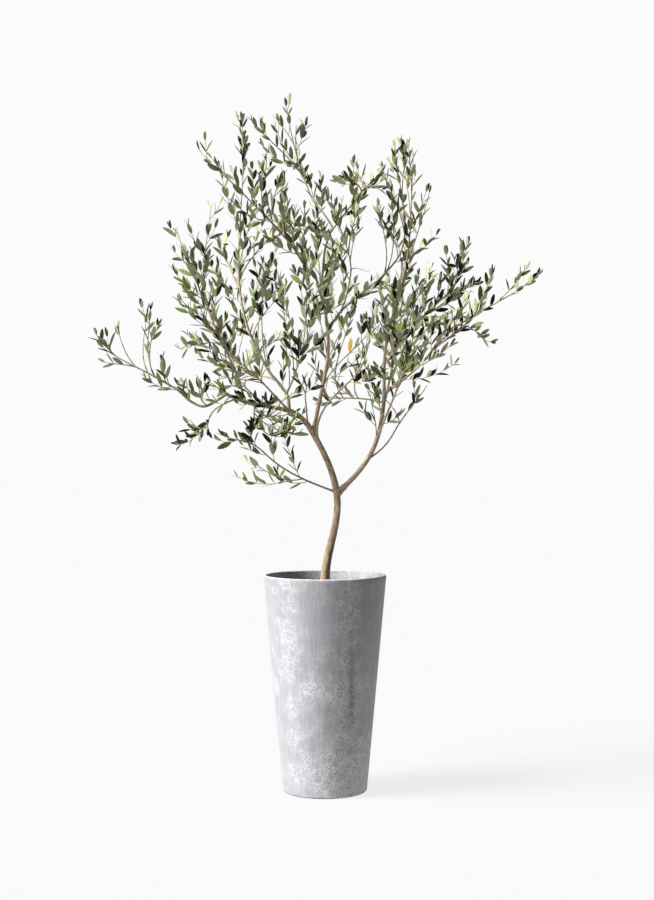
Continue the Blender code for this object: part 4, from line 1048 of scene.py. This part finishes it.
def roomy(path, crowd):
    """Whether the outer half of a shoot stands well away from every other shoot. One that does
    joins the crowd of them."""
    run = dense(path, SPACE_SAMPLE)
    outer = run[len(run) // 2:]
    if np.linalg.norm(outer[:, None] - np.vstack(crowd)[None], axis=2).min() < SHOOT_CLEARANCE:
        return False
    crowd.append(run[2:])
    return True


def trimmed(path):
    """The run of a shoot that is clear of the limbs and in the box, or None where it is too short."""
    run = dense(path, SHOOT_SAMPLE)
    good = clear(run)
    good[:2] = True
    kept = len(run) if good.all() else int(np.argmin(good)) - 1
    if (kept - 1) * SHOOT_SAMPLE < LEAST_LENGTH:
        return None
    return resampled(path, travelled(run[:kept])[-1], SHOOT_STEPS)


def left_out(point, random):
    """Whether a shoot or leaf is dealt out of a thin place. The place is where the line of sight
    through the point crosses the tree's own plane."""
    scale = CAMERA_AWAY / (CAMERA_AWAY + point[1])
    across = CAMERA_ACROSS + (point[0] - CAMERA_ACROSS) * scale
    height = CAMERA_HEIGHT + (point[2] - CAMERA_HEIGHT) * scale
    chances = [share for x, z, radius, share in THIN
               if (across - x) ** 2 + (height - z) ** 2 < radius**2]
    return random.uniform(0, 1) < max(chances, default=0.0)


def grow_shoots(name, leaders, crowd, random):
    """Shoots along a mass's leading twigs and the outer part of its limb, each turned on from the
    last by the golden angle."""
    shoots = []
    turn = random.uniform(0, 2 * math.pi)
    limb = limbs[name]
    for leader in [limb, *leaders]:
        run = travelled(leader)[-1]
        spacing = LIMB_SHOOT_SPACING if leader is limb else SHOOT_SPACING / MASSES[name][0]
        first = BARE_SHARE * run if leader is limb else spacing / 2
        for distance in np.arange(first, run - LAST_SHOOT_SHARE * SHOOT_SPACING, spacing):
            turn += GOLDEN_ANGLE
            length = SHOOT_SHARE * (run - distance) * random.uniform(*SHOOT_LENGTH_SPREAD)
            if leader is limb:
                length = random.uniform(*LIMB_SHOOT_LENGTHS)
            length = float(np.clip(length, *SHOOT_LENGTHS))
            start, lean = at_distance(leader, distance)
            tries = (trimmed(shoot_path(start, lean, turn + other, length)) for other in OTHER_TURNS)
            path = next((path for path in tries if path is not None and roomy(path, crowd)), None)
            if path is not None and not left_out(path[-1], random):
                shoots.append(path)
    return shoots


limb_runs = {name: dense(path, LIMB_SAMPLE) for name, path in limbs.items()}
limb_points = np.vstack(list(limb_runs.values()))
limb_reach = np.concatenate([read_at(np.linspace(0.0, 1.0, len(run)), limb_radii[name])
                             for name, run in limb_runs.items()])
print(len(MASSES), "masses of foliage and", len(THIN), "openings and thin places")

# %% [markdown]
# ## Leaves along a twig
# An olive's leaves are lance-shaped, 40 to 55 mm long and about three tenths as wide, and stand on
# the twig in pairs at 30 to 45 degrees. They are smaller towards the tip, where the youngest pair
# still points ahead. Each leaf is a root, three directions, a length and a width.

# %% Leaf places
LEAF_LENGTH = 0.046
LEAF_LENGTH_SPREAD = (0.82, 1.16)
LEAF_SLIMNESS = (0.27, 0.36)
LEAF_SPACING = 0.029
LAST_LEAF_SHARE = 0.35
LEAF_TAPER = 0.35
BARE_LEADER_SHARE = 0.40
FIRST_LEAF = 0.020
LEAF_ANGLE = math.radians(40)
TIP_LEAF_ANGLE = math.radians(17)
TIP_LEAF_SIZE = 0.62
TIP_LEAF_BACK = 0.001
LEAF_LIFT = 0.42
PAIR_STAGGER = 0.0010
LEAF_TURN_SPREAD = 0.30
LEAF_ANGLE_SPREAD = 0.20
LEAF_ROLL_SPREAD = 0.80
LEAF_CHECKS = np.array((0.3, 0.6, 1.0))


def place_of_leaf(point, lean, slant, turn, size, random):
    """A leaf's root, its three directions, its length and its width."""
    angle = slant + random.uniform(-LEAF_ANGLE_SPREAD, LEAF_ANGLE_SPREAD)
    length = LEAF_LENGTH * size * random.uniform(*LEAF_LENGTH_SPREAD)
    away = square_to(lean, turn)
    along = unit(math.cos(angle) * lean + math.sin(angle) * away + LEAF_LIFT * UP)
    face = unit(math.sin(angle) * lean - math.cos(angle) * away)
    across = unit(np.cross(face, along))
    roll = random.uniform(-LEAF_ROLL_SPREAD, LEAF_ROLL_SPREAD)
    across = math.cos(roll) * across + math.sin(roll) * np.cross(along, across)
    return point, along, across, np.cross(along, across), length, length * random.uniform(*LEAF_SLIMNESS)


def leaf_pair(path, station, stagger, slant, turn, size, random):
    """Two leaves on opposite sides of a twig, set a stagger before and after their station."""
    pair = []
    for half in (-1, 1):
        point, lean = at_distance(path, station + half * stagger)
        pair.append(place_of_leaf(point, lean, slant, turn + half * math.pi / 2, size, random))
    return pair


def grow_leaves(path, random, bare):
    """Pairs of leaves along a twig, past its bare share: each pair square to the last, and a young
    pair ahead. Those that touch a limb or leave the box are left out."""
    run = travelled(path)[-1]
    last = run - LAST_LEAF_SHARE * LEAF_SPACING
    turn = random.uniform(0, 2 * math.pi)
    leaves = []
    for station in np.arange(max(FIRST_LEAF, bare * run), last, LEAF_SPACING):
        turn += math.pi / 2 + random.uniform(-LEAF_TURN_SPREAD, LEAF_TURN_SPREAD)
        size = 1.0 - LEAF_TAPER * (station / run) ** 3
        leaves += leaf_pair(path, station, PAIR_STAGGER, LEAF_ANGLE, turn, size, random)
    turn += math.pi / 2
    leaves += leaf_pair(path, run - TIP_LEAF_BACK, 0.0, TIP_LEAF_ANGLE, turn, TIP_LEAF_SIZE, random)
    return [leaf for leaf in leaves if clear(leaf[0] + leaf[1] * leaf[4] * LEAF_CHECKS[:, None]).all()]


def grow_sprays():
    """Every twig with its leaves, as the name of its mass, its kind, its path and its leaves."""
    leaders = {}
    for name, (_, tip, *side_twigs) in MASSES.items():
        stem = stem_path(limbs[name], np.array(tip))
        leaders[name] = [stem]
        for share, x, y, z, *bough in side_twigs:
            carrier = limbs[bough[0]] if bough else stem
            leaders[name].append(side_path(carrier, share, np.array((x, y, z))))
    crowd = [np.zeros((1, 3))]
    sprays = []
    for index, (name, own) in enumerate(leaders.items()):
        random = np.random.default_rng(SEED + index)
        shoots = grow_shoots(name, own, crowd, random)
        for kind, path in zip(["stem"] + ["side"] * len(own), own):
            leaves = [leaf for leaf in grow_leaves(path, random, BARE_LEADER_SHARE)
                      if not left_out(leaf[0] + leaf[1] * leaf[4], random)]
            sprays.append((name, kind, path, leaves))
        sprays += [(name, "shoot", path, grow_leaves(path, random, 0.0)) for path in shoots]
    return sprays


sprays = grow_sprays()
print(len(sprays), "twigs and shoots carry", sum(len(spray[3]) for spray in sprays), "leaves")

# %% [markdown]
# ## The twigs
# A twig tapers, and thickens a little at each pair of leaves. Leading twigs are last year's wood and
# have turned grey-brown; shoots are this year's and still green. They are tubes of five to seven
# sides, thousands of short steps in all, and each kind is joined to one piece.

# %% Twigs
TWIG_STEP = 0.005
# Sides of each kind's tube, and its radii at the root and the tip. A stem starts as thick as its
# bough ends.
TWIGS = {"stem": (7, None, 0.0011), "side": (6, 0.0019, 0.0011), "shoot": (5, 0.0013, 0.0007)}
JOINT_SWELL = 0.35
JOINT_LENGTH = 0.003


def twig_tube(path, ends, sides):
    """A tapering tube with a swelling at each pair of leaves."""
    smooth = softened(path, TWIG_STEP)
    run = travelled(smooth)
    joint = np.abs((run - FIRST_LEAF + LEAF_SPACING / 2) % LEAF_SPACING - LEAF_SPACING / 2)
    swell = 1.0 + JOINT_SWELL * np.exp(-((joint / JOINT_LENGTH) ** 2))
    return tube(smooth, read_at(run / run[-1], ends) * swell, sides)


leader_tubes, shoot_tubes = [], []
for name, kind, path, _ in sprays:
    sides, root, tip = TWIGS[kind]
    made = twig_tube(path, (root or limb_radii[name][-1], tip), sides)
    (shoot_tubes if kind == "shoot" else leader_tubes).append(made)

# Last year's wood, grey-brown and dull, and this year's, a paler green. The pieces are joined from
# hundreds of twigs, so the colour is plain.
twig_wood, _ = new_material("olive_twig_wood", "#9a8872", 0.8)
green_wood, _ = new_material("olive_green_shoot", "#a39a7a", 0.6)
mass_nodes = [name + "_leaves" for name in MASSES]
make_piece("leading_twigs", joined(leader_tubes), mass_nodes, [twig_wood], 60.0)
make_piece("green_shoots", joined(shoot_tubes), mass_nodes, [green_wood], 60.0)

# %% [markdown]
# ## The leaves
# A leaf is a thin blade of two skins: the upper one dark and waxy, the under one silvery with fine
# scales. It is folded a little along its midrib and arches back towards its tip. Seven flat rings of
# four points each make it, and a few tints are dealt out by spray, with some leaves strayed.

# %% Leaf blades
BLADE_STATIONS = np.array((0.05, 0.14, 0.29, 0.47, 0.65, 0.81, 0.93))
BLADE_THICKNESS = 0.0006
BLADE_FULLNESS = 0.65
STALK_SHARE = 0.12
BLADE_FOLD = (-0.10, 0.42)
BLADE_ARCH = (-0.04, 0.16)
BLADE_SWEEP = (-0.06, 0.06)
# The tint's upper skin, under skin, and its share of the sprays.
TINTS = {
    "deep": ("#0b1004", "#9a9f78", 0.28),
    "mid": ("#1f290d", "#a9ae84", 0.25),
    "olive": ("#444f20", "#b3b88e", 0.22),
    "grey": ("#646c39", "#bfc2a2", 0.16),
    "fresh": ("#5c6c2f", "#a2aa72", 0.09),
    # The gold leaf's colours are paler than its own: painted light, so that it reads bright in the shade
    # where it hangs.
    "gold": ("#e6ab28", "#eab63c", 0.0),
}
# The masses with the most young growth, and how many times as likely a fresh spray is there.
FRESH_SPRAYS = ("left_column", "low_tuft")
FRESH_GAIN = 7.0
STRAY_SHARE = 0.35
# One leaf has turned gold: the one whose middle is nearest to this place.
GOLD_LEAF_AT = (0.078, 0.096, 1.348)


def blades(root, along, across, face, length, width, random):
    """Points of many leaves at once, as leaf × point × axis. At a share u of the length the middle
    lies at root + length × (u along - arch u² face + sweep u² across), the half width is
    width / 2 × sin(pi u) to the power of the fullness, drawn in to a stalk, and the edges are
    raised by the fold."""
    arch, sweep, fold = (random.uniform(*spread, (len(root), 1, 1))
                         for spread in (BLADE_ARCH, BLADE_SWEEP, BLADE_FOLD))
    root, along, across, face = (array[:, None] for array in (root, along, across, face))
    length, width = length[:, None, None], width[:, None, None]

    def middle(u):
        return root + length * (u * along - arch * u**2 * face + sweep * u**2 * across)

    u = BLADE_STATIONS[:, None]
    half = width / 2 * np.sin(np.pi * u) ** BLADE_FULLNESS * np.minimum(1.0, u / STALK_SHARE)
    spread = half * np.cos(fold) * across
    lift = half * np.sin(fold) * face
    thick = BLADE_THICKNESS / 2 * face
    line = middle(u)
    rings = np.stack([line - spread + lift, line + thick, line + spread + lift, line - thick], axis=2)
    return np.concatenate([rings.reshape(len(root), -1, 3), middle(np.array([[0.0], [1.0]]))], axis=1)


random = np.random.default_rng(SEED)
shares = np.array([share for _, _, share in TINTS.values()])
tint_names = list(TINTS)
is_fresh = np.array([tint == "fresh" for tint in TINTS])
leaf_rows, leaf_tints = [], []
for name, _, _, leaves in sprays:
    chances = shares * np.where(is_fresh & (name in FRESH_SPRAYS), FRESH_GAIN, 1.0)
    chances = chances / chances.sum()
    own_tint = random.choice(len(tint_names), p=chances)
    stray = random.choice(len(tint_names), len(leaves), p=chances)
    leaf_tints.append(np.where(random.uniform(0, 1, len(leaves)) < STRAY_SHARE, stray, own_tint))
    leaf_rows += leaves
leaf_tints = np.concatenate(leaf_tints)
root, along, across, face, length, width = (np.array(column) for column in zip(*leaf_rows))
middles = root + along * length[:, None] / 2
leaf_tints[np.linalg.norm(middles - GOLD_LEAF_AT, axis=1).argmin()] = tint_names.index("gold")
leaf_points = blades(root, along, across, face, length, width, random)

# A blade's faces are those of a four-sided tube, turned about to look outwards. Of every four, two
# are the upper skin's and two the under skin's.
quads, ends = ring_faces(len(BLADE_STATIONS), 4)
quads, ends = quads[:, [0, 3, 2, 1]], ends[:, [0, 2, 1]]
for number, (tint, (upper, under, _)) in enumerate(TINTS.items()):
    # Olive leaf: a waxy, dark upper skin with a soft gloss, and a silvery, matt under skin.
    upper_skin, shader = new_material("olive_leaf_" + tint, upper, 0.5)
    shader.inputs["Specular IOR Level"].default_value = 0.2
    under_skin, _ = new_material("olive_leaf_under_" + tint, under, 0.75)
    chosen = leaf_points[leaf_tints == number]
    shift = chosen.shape[1] * np.arange(len(chosen))[:, None, None]
    shape = (chosen.reshape(-1, 3), (quads + shift).reshape(-1, 4), (ends + shift).reshape(-1, 3))
    piece = make_piece("leaves_" + tint, shape, mass_nodes, [upper_skin, under_skin], 70.0)
    skins = np.tile((0, 0, 1, 1), len(piece.data.polygons) // 4)
    piece.data.polygons.foreach_set("material_index", skins.astype(np.int32))
print(len(leaf_rows), "leaves, the longest", round(1000 * length.max()), "mm")
